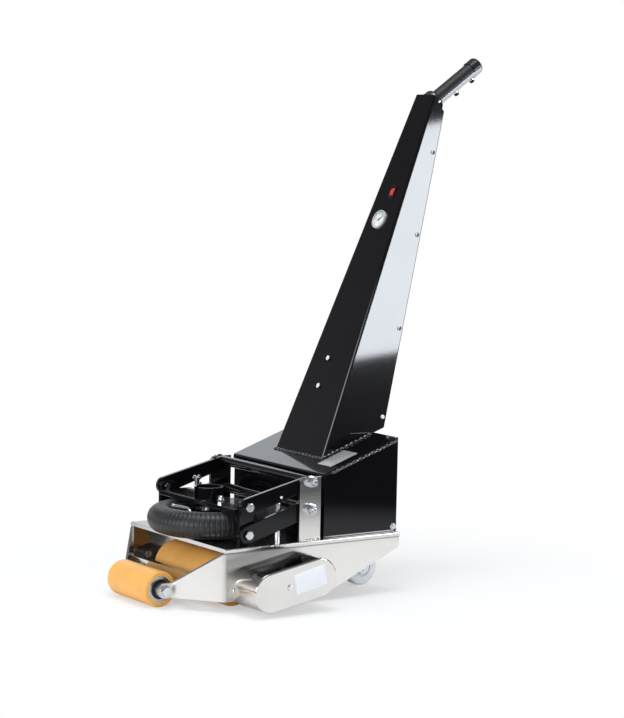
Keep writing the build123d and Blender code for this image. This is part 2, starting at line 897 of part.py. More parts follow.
with BuildPart() as box_shell:
    with BuildSketch(plan_view(deck_top)):
        with Locations((box_front - box_length / 2, 0)):
            Rectangle(box_length, box_width)
            Rectangle(box_length - 2 * box_wall, box_width - 2 * box_wall, mode=Mode.SUBTRACT)
    extrude(amount=box_rear_top)
    with BuildSketch(side_view(0)):
        with BuildLine():
            Polyline(
                (box_front, deck_top),
                (box_front, lid_top(box_front) - lid_drop),
                (box_rear, lid_top(box_rear) - lid_drop),
                (box_rear, deck_top),
                close=True,
            )
        make_face()
    extrude(amount=box_width, both=True, mode=Mode.INTERSECT)
write(box_shell, "box_shell")

lid_front = box_front + lid_overhang
with BuildPart() as box_lid:
    with BuildSketch(side_view(0)):
        with BuildLine():
            Polyline(
                (lid_front, lid_top(lid_front)),
                (box_rear, lid_top(box_rear)),
                (box_rear, lid_top(box_rear) - lid_drop),
                (box_front, lid_top(box_front) - lid_drop),
                (box_front, lid_top(lid_front) - lid_lip),
                (lid_front, lid_top(lid_front) - lid_lip),
                close=True,
            )
        make_face()
    extrude(amount=box_width / 2, both=True)
    front_edge = box_lid.edges().filter_by(Axis.Y).group_by(Axis.X)[-1].sort_by(Axis.Z)[-1]
    fillet(front_edge, lid_round)
write(box_lid, "box_lid")

battery_x = box_front - box_length / 2
battery_width = (box_width - 2 * box_wall - battery_gap) / 2 - battery_side_gap
battery_rows = [side * (battery_width + battery_gap) / 2 for side in (1, -1)]
with BuildPart() as batteries:
    with BuildSketch(plan_view(deck_top)):
        with Locations(*[(battery_x, y) for y in battery_rows]):
            RectangleRounded(battery_depth, battery_width, battery_gap)
    extrude(amount=battery_height)
    with BuildSketch(plan_view(deck_top + battery_height)):
        terminal_set = battery_width / 2 - terminal_d
        terminal_places = [
            (battery_x + battery_depth / 2 - terminal_d, y + end * terminal_set)
            for y in battery_rows
            for end in (1, -1)
        ]
        with Locations(*terminal_places):
            Circle(terminal_d / 2)
    extrude(amount=terminal_height)
write(batteries, "batteries")

# Column: a tapered sheet housing, open at its foot and at the rear, where a cover closes it
face_run = hypot(top_front[0] - foot_front[0], top_front[1] - foot_front[1])
face_up = ((top_front[0] - foot_front[0]) / face_run, (top_front[1] - foot_front[1]) / face_run)
column_face = Plane(
    origin=(deck_front_x + foot_front[0], middle_y, foot_front[1]),
    x_dir=(0, 1, 0),
    z_dir=(face_up[1], 0, -face_up[0]),
)
handle_base = Plane(
    origin=(deck_front_x + handle_foot[0], middle_y, handle_foot[1]),
    x_dir=(0, 1, 0),
    z_dir=(handle_down[1], 0, -handle_down[0]),
)
rear_run = hypot(top_rear[0] - foot_rear[0], top_rear[1] - foot_rear[1])
rear_up = ((top_rear[0] - foot_rear[0]) / rear_run, (top_rear[1] - foot_rear[1]) / rear_run)
rear_in = (rear_up[1], -rear_up[0])
wall_lean = atan2(column_foot_width - column_top_width, 2 * (top_front[1] - foot_front[1]))
wall_inset = column_wall / cos(wall_lean)


def rear_edge(z, depth):
    """Point at height z on the column's rear edge, moved forwards into the column by depth."""
    along = (z - foot_rear[1]) / rear_up[1]
    return (
        foot_rear[0] + along * rear_up[0] + depth * rear_in[0],
        foot_rear[1] + along * rear_up[1] + depth * rear_in[1],
    )


def column_section(inset):
    """Upright trapezoid of the column seen from the front, drawn in by inset on both sides."""
    low = foot_front[1]
    high = top_front[1]
    Polyline(
        (column_half_width(low) - inset, low),
        (column_half_width(high) - inset, high),
        (inset - column_half_width(high), high),
        (inset - column_half_width(low), low),
        close=True,
    )


cover_screw_planes = []
for height in [foot_rear[1] + rise for rise in cover_screw_rises]:
    screw_x, screw_z = rear_edge(height, cover_screw_edge)
    for side in (1, -1):
        cover_screw_planes.append(
            Plane(
                origin=(deck_front_x + screw_x, middle_y + side * column_half_width(screw_z), screw_z),
                x_dir=(1, 0, 0),
                z_dir=(0, side * cos(wall_lean), sin(wall_lean)),
            )
        )
controller_screw_places = [
    (controller_across, controller_along + end * controller_screw_spacing / 2) for end in (1, -1)
]

switch_hole_width = switch_width - 2 * switch_rim + 2 * bolt_fit
switch_hole_length = switch_length - 2 * switch_rim + 2 * bolt_fit

with BuildPart() as column_shell:
    with BuildSketch(side_view(0)):
        with BuildLine():
            Polyline(foot_front, top_front, top_rear, foot_rear, close=True)
        make_face()
    extrude(amount=column_foot_width, both=True)
    with BuildSketch(front_view(-foot_rear_back)):
        with BuildLine():
            column_section(0)
        make_face()
    extrude(amount=column_lean, both=True, mode=Mode.INTERSECT)
    front_face = column_shell.faces().sort_by(lambda face: face.normal_at().X)[-1]
    fillet(front_face.edges().sort_by(SortBy.LENGTH)[-2:], column_bend)
    foot_face = column_shell.faces().sort_by(lambda face: face.normal_at().Z)[0]
    rear_face = column_shell.faces().sort_by(lambda face: face.normal_at().X)[0]
    offset(amount=-column_wall, openings=[foot_face, rear_face])
    with BuildSketch(column_face):
        with Locations((gauge_across, gauge_along)):
            Circle(gauge_body_d / 2 + bolt_fit)
        with Locations((switch_across, switch_along)):
            Rectangle(switch_hole_width, switch_hole_length)
        with Locations(*controller_screw_places):
            Circle(m6_d / 2 + bolt_fit)
    extrude(amount=-2 * column_wall, mode=Mode.SUBTRACT)
    with BuildSketch(handle_base):
        Circle(handle_tube_d / 2 + bolt_fit)
    extrude(amount=-2 * column_wall, mode=Mode.SUBTRACT)
    with Locations(*cover_screw_planes):
        Cylinder(cover_screw_d / 2 + bolt_fit, 4 * column_wall, mode=Mode.SUBTRACT)
write(column_shell, "column_shell")

# Rear cover: a tapered tray whose side flanges take the screws
cover_low = rear_edge(foot_rear[1], 0)
cover_high = (top_rear[0] - rear_up[0] * column_wall * 2, top_rear[1] - rear_up[1] * column_wall * 2)
with BuildPart() as column_cover:
    with BuildSketch(side_view(0)):
        with BuildLine():
            Polyline(
                cover_low,
                cover_high,
                (cover_high[0] + rear_in[0] * cover_flange, cover_high[1] + rear_in[1] * cover_flange),
                (cover_low[0] + rear_in[0] * cover_flange, cover_low[1] + rear_in[1] * cover_flange),
                close=True,
            )
        make_face()
    extrude(amount=column_foot_width, both=True)
    with BuildSketch(front_view(-foot_rear_back)):
        with BuildLine():
            column_section(wall_inset)
        make_face()
    extrude(amount=column_lean, both=True, mode=Mode.INTERSECT)
    cover_faces = column_cover.faces()
    open_faces = [
        cover_faces.sort_by(lambda face: face.normal_at().X)[-1],
        cover_faces.sort_by(lambda face: face.normal_at().Z)[0],
        cover_faces.sort_by(lambda face: face.normal_at().Z)[-1],
    ]
    offset(amount=-cover_thickness, openings=open_faces)
    with Locations(*cover_screw_planes):
        Cylinder(cover_screw_d / 2 + bolt_fit, 4 * cover_screw_length, mode=Mode.SUBTRACT)
write(column_cover, "column_cover")

cover_screw = dome_screw(cover_screw_head_d, cover_screw_head, cover_screw_d, cover_screw_length)
controller_screw = hex_bolt(m6_across, m6_head, m6_d, column_wall + case_screw_length)
controller_screw_planes = [
    Plane(origin=column_face.from_local_coords((x, y, 0)), x_dir=(0, 1, 0), z_dir=column_face.z_dir)
    for x, y in controller_screw_places
]
with BuildPart() as column_screws:
    with Locations(*cover_screw_planes):
        add(cover_screw)
    with Locations(*controller_screw_planes):
        add(controller_screw)
write(column_screws, "column_screws")

# Motor controller on the inside of the column's front wall
with BuildPart() as controller:
    with BuildSketch(column_face.offset(-column_wall)):
        with Locations((controller_across, controller_along)):
            RectangleRounded(controller_width, controller_length, controller_depth / 10)
    extrude(amount=-controller_depth)
    with BuildSketch(column_face.offset(-column_wall)):
        with Locations(*controller_screw_places):
            Circle(m6_d / 2 + running_fit)
    extrude(amount=-case_screw_length - air_gap, mode=Mode.SUBTRACT)
write(controller, "controller")

# Gauge: bezel and body in one turned case, with dial, needle and lens
gauge_plane = Plane(
    origin=column_face.from_local_coords((gauge_across, gauge_along, 0)),
    x_dir=(0, 1, 0),
    z_dir=column_face.z_dir,
)
dial_top = gauge_floor + dial_thickness
needle_low = dial_top + air_gap
lens_low = gauge_bezel_height - lens_thickness
with BuildPart() as gauge_body:
    with BuildSketch(gauge_plane):
        Circle(gauge_bezel_d / 2)
    extrude(amount=gauge_bezel_height)
    fillet(gauge_body.faces().sort_by(Axis((0, 0, 0), column_face.z_dir))[-1].edges(), 1.2)
    with BuildSketch(gauge_plane):
        Circle(gauge_body_d / 2)
    extrude(amount=-gauge_body_depth)
    with BuildSketch(gauge_plane.offset(gauge_floor)):
        Circle(gauge_window_d / 2)
    extrude(amount=gauge_bezel_height, mode=Mode.SUBTRACT)
write(gauge_body, "gauge_body")

with BuildPart() as gauge_dial:
    with BuildSketch(gauge_plane.offset(gauge_floor)):
        Circle(gauge_window_d / 2)
    extrude(amount=dial_thickness)
    with BuildSketch(gauge_plane.offset(dial_top)):
        Circle(needle_pin_d / 2)
    extrude(amount=air_gap + needle_thickness)
write(gauge_dial, "gauge_dial")

needle_turn = radians(needle_angle)
needle_plane = Plane(
    origin=gauge_plane.from_local_coords((0, 0, needle_low)),
    x_dir=(face_up[0] * sin(needle_turn), cos(needle_turn), face_up[1] * sin(needle_turn)),
    z_dir=column_face.z_dir,
)
with BuildPart() as gauge_needle:
    with BuildSketch(needle_plane):
        with BuildLine():
            Polyline(
                (-needle_tail, needle_width / 2),
                (needle_length, needle_width / 6),
                (needle_length, -needle_width / 6),
                (-needle_tail, -needle_width / 2),
                close=True,
            )
        make_face()
        Circle(needle_hub_d / 2)
        Circle(needle_pin_d / 2 + running_fit, mode=Mode.SUBTRACT)
    extrude(amount=needle_thickness)
write(gauge_needle, "gauge_needle")

with BuildPart() as gauge_lens:
    with BuildSketch(gauge_plane.offset(lens_low)):
        Circle(gauge_window_d / 2)
    extrude(amount=lens_thickness)
write(gauge_lens, "gauge_lens")

# Rocker switch: a frame through the column's face and a tilting rocker on a cross pin
switch_plane = Plane(
    origin=column_face.from_local_coords((switch_across, switch_along, 0)),
    x_dir=(0, 1, 0),
    z_dir=column_face.z_dir,
)
pocket_length = rocker_length + 2 * rocker_swing_gap
pocket_width = rocker_width + 2 * air_gap
with BuildPart() as switch_frame:
    with BuildSketch(switch_plane):
        RectangleRounded(switch_width, switch_length, 2)
    extrude(amount=switch_frame_height)
    with BuildSketch(switch_plane):
        Rectangle(switch_width - 2 * switch_rim, switch_length - 2 * switch_rim)
    extrude(amount=-switch_frame_depth)
    with BuildSketch(switch_plane.offset(switch_frame_height)):
        Rectangle(pocket_width, pocket_length)
    extrude(amount=-switch_frame_depth, mode=Mode.SUBTRACT)
    with BuildSketch(
        Plane(
            origin=switch_plane.from_local_coords((switch_rim - switch_width / 2, 0, 0)),
            x_dir=switch_plane.y_dir,
            z_dir=(0, 1, 0),
        )
    ):
        Circle(rocker_pin_d / 2)
    extrude(amount=switch_width - 2 * switch_rim)
write(switch_frame, "switch_frame")

face_lean = atan2(face_up[1], face_up[0])
rocker_lean = face_lean + radians(rocker_tilt)
rocker_plane = Plane(
    origin=switch_plane.from_local_coords((rocker_width / 2, 0, 0)),
    x_dir=(cos(rocker_lean), 0, sin(rocker_lean)),
    z_dir=(0, -1, 0),
)
with BuildPart() as switch_rocker:
    with BuildSketch(rocker_plane):
        with BuildLine():
            Polyline(
                (-rocker_length / 2, rocker_rise),
                (0, rocker_rise / 2),
                (rocker_length / 2, rocker_rise),
                (rocker_length / 2 - 1.5, -1),
                (0, -rocker_pin_d),
                (1.5 - rocker_length / 2, -1),
                close=True,
            )
        make_face()
        Circle(rocker_pin_d / 2 + running_fit, mode=Mode.SUBTRACT)
    extrude(amount=rocker_width)
write(switch_rocker, "switch_rocker")

# Handle: collar on the oblique column top, tube with end cap, and two push buttons in its underside
with BuildPart() as handle_socket:
    with BuildSketch(handle_base):
        Circle(handle_socket_d / 2)
    extrude(amount=handle_socket_length)
    fillet(handle_socket.faces().sort_by(Axis((0, 0, 0), handle_base.z_dir))[-1].edges(), handle_socket_round)
    with BuildSketch(handle_base):
        Circle(handle_tube_d / 2)
    extrude(amount=handle_socket_length, mode=Mode.SUBTRACT)
write(handle_socket, "handle_socket")

with BuildPart() as grip_cap:
    with BuildSketch(handle_base.offset(cap_start)):
        Circle(cap_d / 2)
    extrude(amount=cap_end - cap_start)
    fillet(grip_cap.faces().sort_by(Axis((0, 0, 0), handle_base.z_dir))[-1].edges(), cap_round)
    with BuildSketch(handle_base.offset(cap_start)):
        Circle(handle_tube_d / 2)
    extrude(amount=handle_tube_length - cap_start, mode=Mode.SUBTRACT)
write(grip_cap, "grip_cap")

button_planes = {
    name: Plane(
        origin=handle_base.from_local_coords((0, handle_tube_d / 2, along)),
        x_dir=(0, 1, 0),
        z_dir=(handle_down[0], 0, handle_down[1]),
    )
    for name, along in button_places.items()
}
with BuildPart() as handle_tube:
    with BuildSketch(handle_base.offset(-column_wall)):
        Circle(handle_tube_d / 2)
        Circle(handle_bore_d / 2, mode=Mode.SUBTRACT)
    extrude(amount=handle_tube_length + column_wall)
    for plane in button_planes.values():
        with BuildSketch(plane):
            Circle(switch_bush_d / 2 + bolt_fit)
        extrude(amount=-2 * handle_tube_wall, mode=Mode.SUBTRACT)
write(handle_tube, "handle_tube")

# Each switch is a body in the tube with a bush through its wall, and a ring outside saddled to the tube
body_corner = cos(asin(switch_body / handle_bore_d)) * handle_bore_d / 2
body_depth = handle_tube_d / 2 - body_corner + air_gap
with BuildPart() as button_switches:
    for plane in button_planes.values():
        with BuildSketch(plane.offset(switch_ring_height)):
            Circle(switch_ring_d / 2)
        extrude(amount=-switch_ring_height - handle_tube_wall)
    with BuildSketch(handle_base):
        Circle(handle_tube_d / 2)
    extrude(amount=handle_tube_length, mode=Mode.SUBTRACT)
    for plane in button_planes.values():
        with BuildSketch(plane):
            Circle(switch_bush_d / 2)
        extrude(amount=-body_depth)
        with BuildSketch(plane.offset(-body_depth)):
            RectangleRounded(switch_body, switch_body, 1)
        extrude(amount=-switch_body_height)
        with BuildSketch(plane.offset(switch_ring_height)):
            Circle(button_stem_d / 2 + running_fit)
        bore_depth = switch_ring_height + button_stem_depth + button_travel + air_gap
        extrude(amount=-bore_depth, mode=Mode.SUBTRACT)
write(button_switches, "button_switches")

for name, plane in button_planes.items():
    cap_bottom = switch_ring_height + button_travel + air_gap
    with BuildPart() as button:
        with BuildSketch(plane.offset(cap_bottom)):
            Circle(button_cap_d / 2)
        extrude(amount=button_cap_height)
        fillet(button.faces().sort_by(Axis((0, 0, 0), plane.z_dir))[-1].edges(), button_cap_height * 0.4)
        with BuildSketch(plane.offset(cap_bottom)):
            Circle(button_stem_d / 2)
        extrude(amount=-cap_bottom - button_stem_depth)
    write(button, name)

# Linkage brackets: upright plates on the deck, with a pivot rod through both at each level
rear_pivots = ((rear_pivot_x, upper_pivot_height), (rear_pivot_x, lower_pivot_height))
front_pivots = tuple((front_pivot_x, z - arm_drop) for _, z in rear_pivots)
with BuildPart() as brackets:
    for outer_face in (bracket_outer, -bracket_inner):
        with BuildSketch(side_view(outer_face)):
            with Locations(((bracket_front + bracket_rear) / 2, deck_top + bracket_height / 2)):
                Rectangle(bracket_front - bracket_rear, bracket_height)
            with Locations(*rear_pivots):
                Circle(pivot_d / 2 + bolt_fit, mode=Mode.SUBTRACT)
        extrude(amount=bracket_thickness)
    top_corners = brackets.edges().filter_by(Axis.Y).group_by(Axis.Z)[-1].group_by(Axis.X)[-1]
    chamfer(top_corners, bracket_chamfer)
write(brackets, "brackets")

with BuildPart() as pivot_rods:
    with BuildSketch(side_view(rod_end)):
        with Locations(*rear_pivots):
            Circle(pivot_d / 2)
    extrude(amount=2 * rod_end)
    rod_faces = pivot_rods.faces().filter_by(Axis.Y).group_by(Axis.Y)
    fillet(rod_faces[0].edges() + rod_faces[-1].edges(), rod_round)
write(pivot_rods, "pivot_rods")

rod_washer = washer(m12_washer_d, pivot_d, m12_washer)
rod_nut = hex_nut(m12_across, m12_nut, pivot_d)
with BuildPart() as pivot_nuts:
    for side in (1, -1):
        for x, z in rear_pivots:
            with Locations(facing_out(side, x, bracket_outer, z)):
                add(rod_washer)
            with Locations(facing_out(side, x, bracket_outer + m12_washer, z)):
                add(rod_nut)
write(pivot_nuts, "pivot_nuts")

# Guide posts stand on the deck just inside the arms and keep them from swaying
guide_post_y = arm_inner - side_play - guide_post_d / 2
with BuildPart() as guide_posts:
    with BuildSketch(plan_view(deck_top)):
        with Locations(*[(rear_pivot_x + guide_post_set, side * guide_post_y) for side in (1, -1)]):
            Circle(guide_post_d / 2)
    extrude(amount=guide_post_rise)
    fillet(guide_posts.faces().group_by(Axis.Z)[-1].edges(), rod_round)
write(guide_posts, "guide_posts")

# Parallel arms: flat bars from the rear pivots to the head's pivots, with a cross tube at the rear
for level, pivot_play, rear_pivot, front_pivot, rear_radius, rear_set in (
    ("upper", open_pivot_fit, rear_pivots[0], front_pivots[0], upper_arm_rear_radius, upper_arm_rear_set),
    ("lower", running_fit, rear_pivots[1], front_pivots[1], arm_radius, 0),
):
    with BuildPart() as arms:
        for outer_face in (arm_outer, -arm_inner):
            with BuildSketch(side_view(outer_face)):
                with Locations((rear_pivot[0], rear_pivot[1] - rear_set)):
                    Circle(rear_radius)
                with Locations(front_pivot):
                    Circle(arm_radius)
                make_hull()
                with Locations(rear_pivot):
                    Circle(pivot_d / 2 + running_fit, mode=Mode.SUBTRACT)
                with Locations(front_pivot):
                    Circle(pivot_d / 2 + pivot_play, mode=Mode.SUBTRACT)
            extrude(amount=arm_thickness)
    write(arms, f"{level}_arms")
    with BuildPart() as cross_tube:
        with BuildSketch(side_view(arm_inner)):
            with Locations(rear_pivot):
                Circle(cross_tube_d / 2)
                Circle(pivot_d / 2 + running_fit, mode=Mode.SUBTRACT)
        extrude(amount=2 * arm_inner)
    write(cross_tube, f"{level}_cross_tube")

# Coupling head: side plates that stand on the deck at rest, and a lipped top plate between them
head_outer = head_width / 2
head_inner = head_outer - head_side_thickness
head_side_low = deck_top + air_gap
head_side_x = front_pivot_x + (head_side_front - head_side_rear) / 2
with BuildPart() as head_sides:
    for outer_face in (head_outer, -head_inner):
        with BuildSketch(side_view(outer_face)):
            with Locations((head_side_x, (head_side_top + head_side_low) / 2)):
                Rectangle(head_side_front + head_side_rear, head_side_top - head_side_low)
            with Locations(*front_pivots):
                Circle(pivot_d / 2 + running_fit, mode=Mode.SUBTRACT)
        extrude(amount=head_side_thickness)
    fillet(head_sides.edges().filter_by(Axis.Y).group_by(Axis.Z)[-1], head_side_front / 2)
write(head_sides, "head_sides")

flange_bolt = (-coupling_back + flange_bolt_along, flange_bolt_across)
wing_bolt_place = (-coupling_back - flange_bolt_along, -flange_bolt_across)
with BuildPart() as head_plate:
    with BuildSketch(side_view(head_inner)):
        with BuildLine():
            Polyline(
                (-head_plate_front, head_plate_top),
                (-head_plate_front - head_plate_length, head_plate_top),
                (-head_plate_front - head_plate_length, head_plate_bottom),
                (-head_plate_front - head_plate_thickness / 2, head_plate_bottom),
                (-head_plate_front - head_plate_thickness / 2, head_plate_top - head_lip),
                (-head_plate_front, head_plate_top - head_lip),
                close=True,
            )
        make_face()
    extrude(amount=2 * head_inner)
    with BuildSketch(plan_view(head_plate_bottom)):
        with Locations((-coupling_back, 0)):
            Circle(coupling_tube_d / 2 + running_fit)
        with Locations(flange_bolt):
            Circle(m8_d / 2 + bolt_fit)
        with Locations(wing_bolt_place):
            Circle(wing_bolt_d / 2 + running_fit)
    extrude(amount=head_plate_thickness, mode=Mode.SUBTRACT)
    fillet(head_plate.edges().filter_by(Axis.Y).group_by(Axis.Z)[-1].sort_by(Axis.X)[-1], 2)
write(head_plate, "head_plate")

coupling_tube_top = head_plate_top + coupling_tube_rise
with BuildPart() as coupling_tube:
    with BuildSketch(plan_view(head_plate_bottom)):
        with Locations((-coupling_back, 0)):
            Circle(coupling_tube_d / 2)
            Circle(coupling_tube_d / 2 - coupling_tube_wall, mode=Mode.SUBTRACT)
    extrude(amount=coupling_tube_top - head_plate_bottom)
    upper_rims = coupling_tube.faces().sort_by(Axis.Z)[-1].edges()
    chamfer(upper_rims.sort_by(SortBy.RADIUS)[-1], coupling_rim)
    with BuildSketch(plan_view(head_plate_top)):
        with Locations((-coupling_back + coupling_tube_d / 2, 0)):
            Rectangle(coupling_tube_d / 2, coupling_slot)
    extrude(amount=coupling_tube_rise, mode=Mode.SUBTRACT)
write(coupling_tube, "coupling_tube")

# Wheel axle: a stub under the top plate, on a flange with an ear for each of its two bolts
hub_low = wheel_height - wheel_hub_length / 2
hub_high = wheel_height + wheel_hub_length / 2
axle_low = hub_low - air_gap - axle_nut_height
with BuildPart() as wheel_axle:
    with BuildSketch(plan_view(axle_flange_bottom)):
        with Locations((-coupling_back, 0)):
            Circle(axle_flange_d / 2)
        with Locations(flange_bolt, wing_bolt_place):
            Circle(axle_ear_d / 2)
        make_hull()
        with Locations(flange_bolt):
            Circle(m8_d / 2 + bolt_fit, mode=Mode.SUBTRACT)
        with Locations(wing_bolt_place):
            Circle(wing_bolt_d / 2 + running_fit, mode=Mode.SUBTRACT)
    extrude(amount=axle_flange_thickness)
    with BuildSketch(plan_view(hub_high + air_gap)):
        with Locations((-coupling_back, 0)):
            Circle(axle_shoulder_d / 2)
    extrude(amount=axle_flange_bottom - hub_high - air_gap)
    with BuildSketch(plan_view(axle_low)):
        with Locations((-coupling_back, 0)):
            Circle(wheel_bearing_bore / 2)
    extrude(amount=axle_flange_bottom - axle_low)
write(wheel_axle, "wheel_axle")

# Bolts of the head: pivot bolts screwed into the side plates, the flange's capped stud and the axle nut
pivot_bolt_length = arm_outer + side_play / 2 - head_inner
pivot_bolt = hex_bolt(m10_across, m10_head, pivot_d, pivot_bolt_length)
plate_bolt_length = head_plate_thickness + axle_flange_thickness
plate_bolt = cap_nut(m8_across, m8_nut, m8_cap_height, m8_d, plate_bolt_length)
axle_nut = hex_nut(axle_shoulder_d, axle_nut_height, wheel_bearing_bore)
with BuildPart() as head_bolts:
    for side in (1, -1):
        for x, z in front_pivots:
            with Locations(facing_out(side, x, arm_outer + side_play / 2, z)):
                add(pivot_bolt)
    with Locations(facing_up(flange_bolt[0], flange_bolt[1], head_plate_top)):
        add(plate_bolt)
    with Locations(facing_up(-coupling_back, 0, axle_low)):
        add(axle_nut)
write(head_bolts, "head_bolts")

# Wing bolt that stands on the top plate and screws down into the axle's flange
wing_low = head_plate_top + wing_bolt_rise
with BuildPart() as wing_bolt:
    with Locations(facing_up(wing_bolt_place[0], wing_bolt_place[1], axle_flange_bottom)):
        Cylinder(
            wing_bolt_d / 2, wing_low - axle_flange_bottom, align=(Align.CENTER, Align.CENTER, Align.MIN)
        )
    with Locations(facing_up(wing_bolt_place[0], wing_bolt_place[1], wing_low)):
        Cylinder(wing_hub_d / 2, wing_hub_height, align=(Align.CENTER, Align.CENTER, Align.MIN))
    with BuildSketch(side_view(wing_bolt_place[1] + wing_thickness / 2)):
        with Locations(
            (wing_bolt_place[0] + wing_span / 4, wing_low + wing_height * 0.6),
            (wing_bolt_place[0] - wing_span / 4, wing_low + wing_height * 0.6),
        ):
            Ellipse(wing_span / 4, wing_height * 0.6)
    extrude(amount=wing_thickness)
write(wing_bolt, "wing_bolt")

# Flat wheel: spoked rim with its bearings, and a round-sectioned tyre
wheel_section = Plane(
    origin=(deck_front_x - coupling_back, middle_y, wheel_height), x_dir=(1, 0, 0), z_dir=(0, -1, 0)
)
wheel_axis = Axis((deck_front_x - coupling_back, middle_y, 0), (0, 0, 1))
rim_radius = tyre_bead_d / 2
rim_half = tyre_bead_width / 2
with BuildPart() as wheel_rim:
    with BuildSketch(wheel_section):
        with BuildLine():
            Polyline(
                (rim_radius - rim_band, -rim_half - rim_flange_width),
                (rim_flange_d / 2, -rim_half - rim_flange_width),
                (rim_flange_d / 2, -rim_half),
                (rim_radius, -rim_half),
                (rim_radius, rim_half),
                (rim_flange_d / 2, rim_half),
                (rim_flange_d / 2, rim_half + rim_flange_width),
                (rim_radius - rim_band, rim_half + rim_flange_width),
                close=True,
            )
        make_face()
    revolve(axis=wheel_axis)
    with BuildSketch(plan_view(hub_low)):
        with Locations((-coupling_back, 0)):
            Circle(wheel_hub_d / 2)
    extrude(amount=wheel_hub_length)
    with BuildSketch(plan_view(wheel_height - spoke_thickness / 2)):
        with Locations((-coupling_back, 0)):
            with PolarLocations(rim_radius / 2, spoke_count):
                Rectangle(rim_radius - rim_band / 2, spoke_width)
    extrude(amount=spoke_thickness)
    with BuildSketch(plan_view(hub_low)):
        with Locations((-coupling_back, 0)):
            Circle(wheel_bearing_bore / 2 + 2 * side_play)
    extrude(amount=wheel_hub_length, mode=Mode.SUBTRACT)
    for seat_low in (hub_low, hub_high - wheel_bearing_width):
        with BuildSketch(plan_view(seat_low)):
            with Locations((-coupling_back, 0)):
                Circle(wheel_bearing_d / 2)
        extrude(amount=wheel_bearing_width, mode=Mode.SUBTRACT)
write(wheel_rim, "wheel_rim")

with BuildPart() as wheel_bearings:
    for seat_low in (hub_low, hub_high - wheel_bearing_width):
        with BuildSketch(plan_view(seat_low)):
            with Locations((-coupling_back, 0)):
                Circle(wheel_bearing_d / 2)
                Circle(wheel_bearing_bore / 2 + running_fit, mode=Mode.SUBTRACT)
        extrude(amount=wheel_bearing_width)
write(wheel_bearings, "wheel_bearings")

tyre_outer = tyre_d / 2
tyre_round = tyre_width / 2
tyre_seat = tyre_outer - tyre_round - tyre_round * cos(asin(rim_half / tyre_round))
with BuildPart() as wheel_tyre:
    with BuildSketch(wheel_section):
        with BuildLine():
            wall = ThreePointArc((tyre_seat, -rim_half), (tyre_outer, 0), (tyre_seat, rim_half))
            Polyline(wall @ 1, (rim_radius, rim_half), (rim_radius, -rim_half), wall @ 0)
        make_face()
    revolve(axis=wheel_axis)
write(wheel_tyre, "wheel_tyre")

# Castors: plate and swivel pin under the deck, pressed fork with its axle bolt, one-piece wheel
fork_inner = castor_wheel_width / 2 + fork_gap
fork_outer = fork_inner + fork_wall
pin_head_top = fork_disc_bottom - air_gap
with BuildPart() as castor_plates:
    for side in (1, -1):
        castor_place = (castor_x, side * castor_spread / 2)
        with BuildSketch(plan_view(castor_plate_bottom)):
            with Locations(castor_place):
                RectangleRounded(castor_plate_length, castor_plate_width, castor_plate_thickness)
        extrude(amount=castor_plate_thickness)
        for low, high, diameter in (
            (castor_race_bottom, castor_plate_bottom, castor_race_d),
            (pin_head_top, castor_race_bottom, castor_pin_d),
            (pin_head_top - castor_pin_head, pin_head_top, castor_pin_head_d),
        ):
            with BuildSketch(plan_view(low)):
                with Locations(castor_place):
                    Circle(diameter / 2)
            extrude(amount=high - low)
write(castor_plates, "castor_plates")

axle_bolt_span = 2 * fork_outer
castor_bolt = hex_bolt(m8_across, m8_head, castor_axle_d, axle_bolt_span)
for side, name in ((1, "left"), (-1, "right")):
    castor_y = side * castor_spread / 2
    with BuildPart() as castor_fork:
        with BuildSketch(plan_view(fork_disc_bottom)):
            with Locations((castor_x, castor_y)):
                Circle(fork_disc_d / 2)
        extrude(amount=fork_disc_thickness)
        for leg_face in (castor_y + fork_outer, castor_y - fork_inner):
            with BuildSketch(side_view(leg_face)):
                leg_top = fork_disc_bottom + fork_wall
                with Locations((castor_x, leg_top - fork_wall)):
                    Rectangle(fork_disc_d * 0.7, 2 * fork_wall)
                with Locations((castor_axle_x, castor_axle_height)):
                    Circle(fork_end_radius)
                make_hull()
                with Locations((castor_axle_x, castor_axle_height)):
                    Circle(castor_axle_d / 2, mode=Mode.SUBTRACT)
            extrude(amount=fork_wall)
        with BuildSketch(plan_view(fork_disc_bottom)):
            with Locations((castor_x, castor_y)):
                Circle(castor_pin_d / 2 + running_fit)
        extrude(amount=fork_disc_thickness, mode=Mode.SUBTRACT)
        with Locations(
            Plane(
                origin=(deck_front_x + castor_axle_x, middle_y + castor_y + fork_outer, castor_axle_height),
                x_dir=(1, 0, 0),
                z_dir=(0, 1, 0),
            )
        ):
            add(castor_bolt)
    write(castor_fork, f"castor_fork_{name}")
    with BuildPart() as castor_wheel:
        with BuildSketch(side_view(castor_y + castor_wheel_width / 2)):
            with Locations((castor_axle_x, castor_axle_height)):
                Circle(castor_wheel_d / 2)
        extrude(amount=castor_wheel_width)
        tread_edges = castor_wheel.edges().filter_by(GeomType.CIRCLE)
        fillet(tread_edges, castor_wheel_round)
        for face_y, depth in (
            (castor_y + castor_wheel_width / 2, castor_hub_recess),
            (castor_y - castor_wheel_width / 2, -castor_hub_recess),
        ):
            with BuildSketch(side_view(face_y)):
                with Locations((castor_axle_x, castor_axle_height)):
                    Circle(castor_hub_d / 2)
                    Circle(castor_axle_d, mode=Mode.SUBTRACT)
            extrude(amount=depth, mode=Mode.SUBTRACT)
        with BuildSketch(side_view(castor_y + castor_wheel_width / 2)):
            with Locations((castor_axle_x, castor_axle_height)):
                Circle(castor_axle_d / 2 + running_fit)
        extrude(amount=castor_wheel_width, mode=Mode.SUBTRACT)
    write(castor_wheel, f"castor_wheel_{name}")
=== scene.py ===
import json

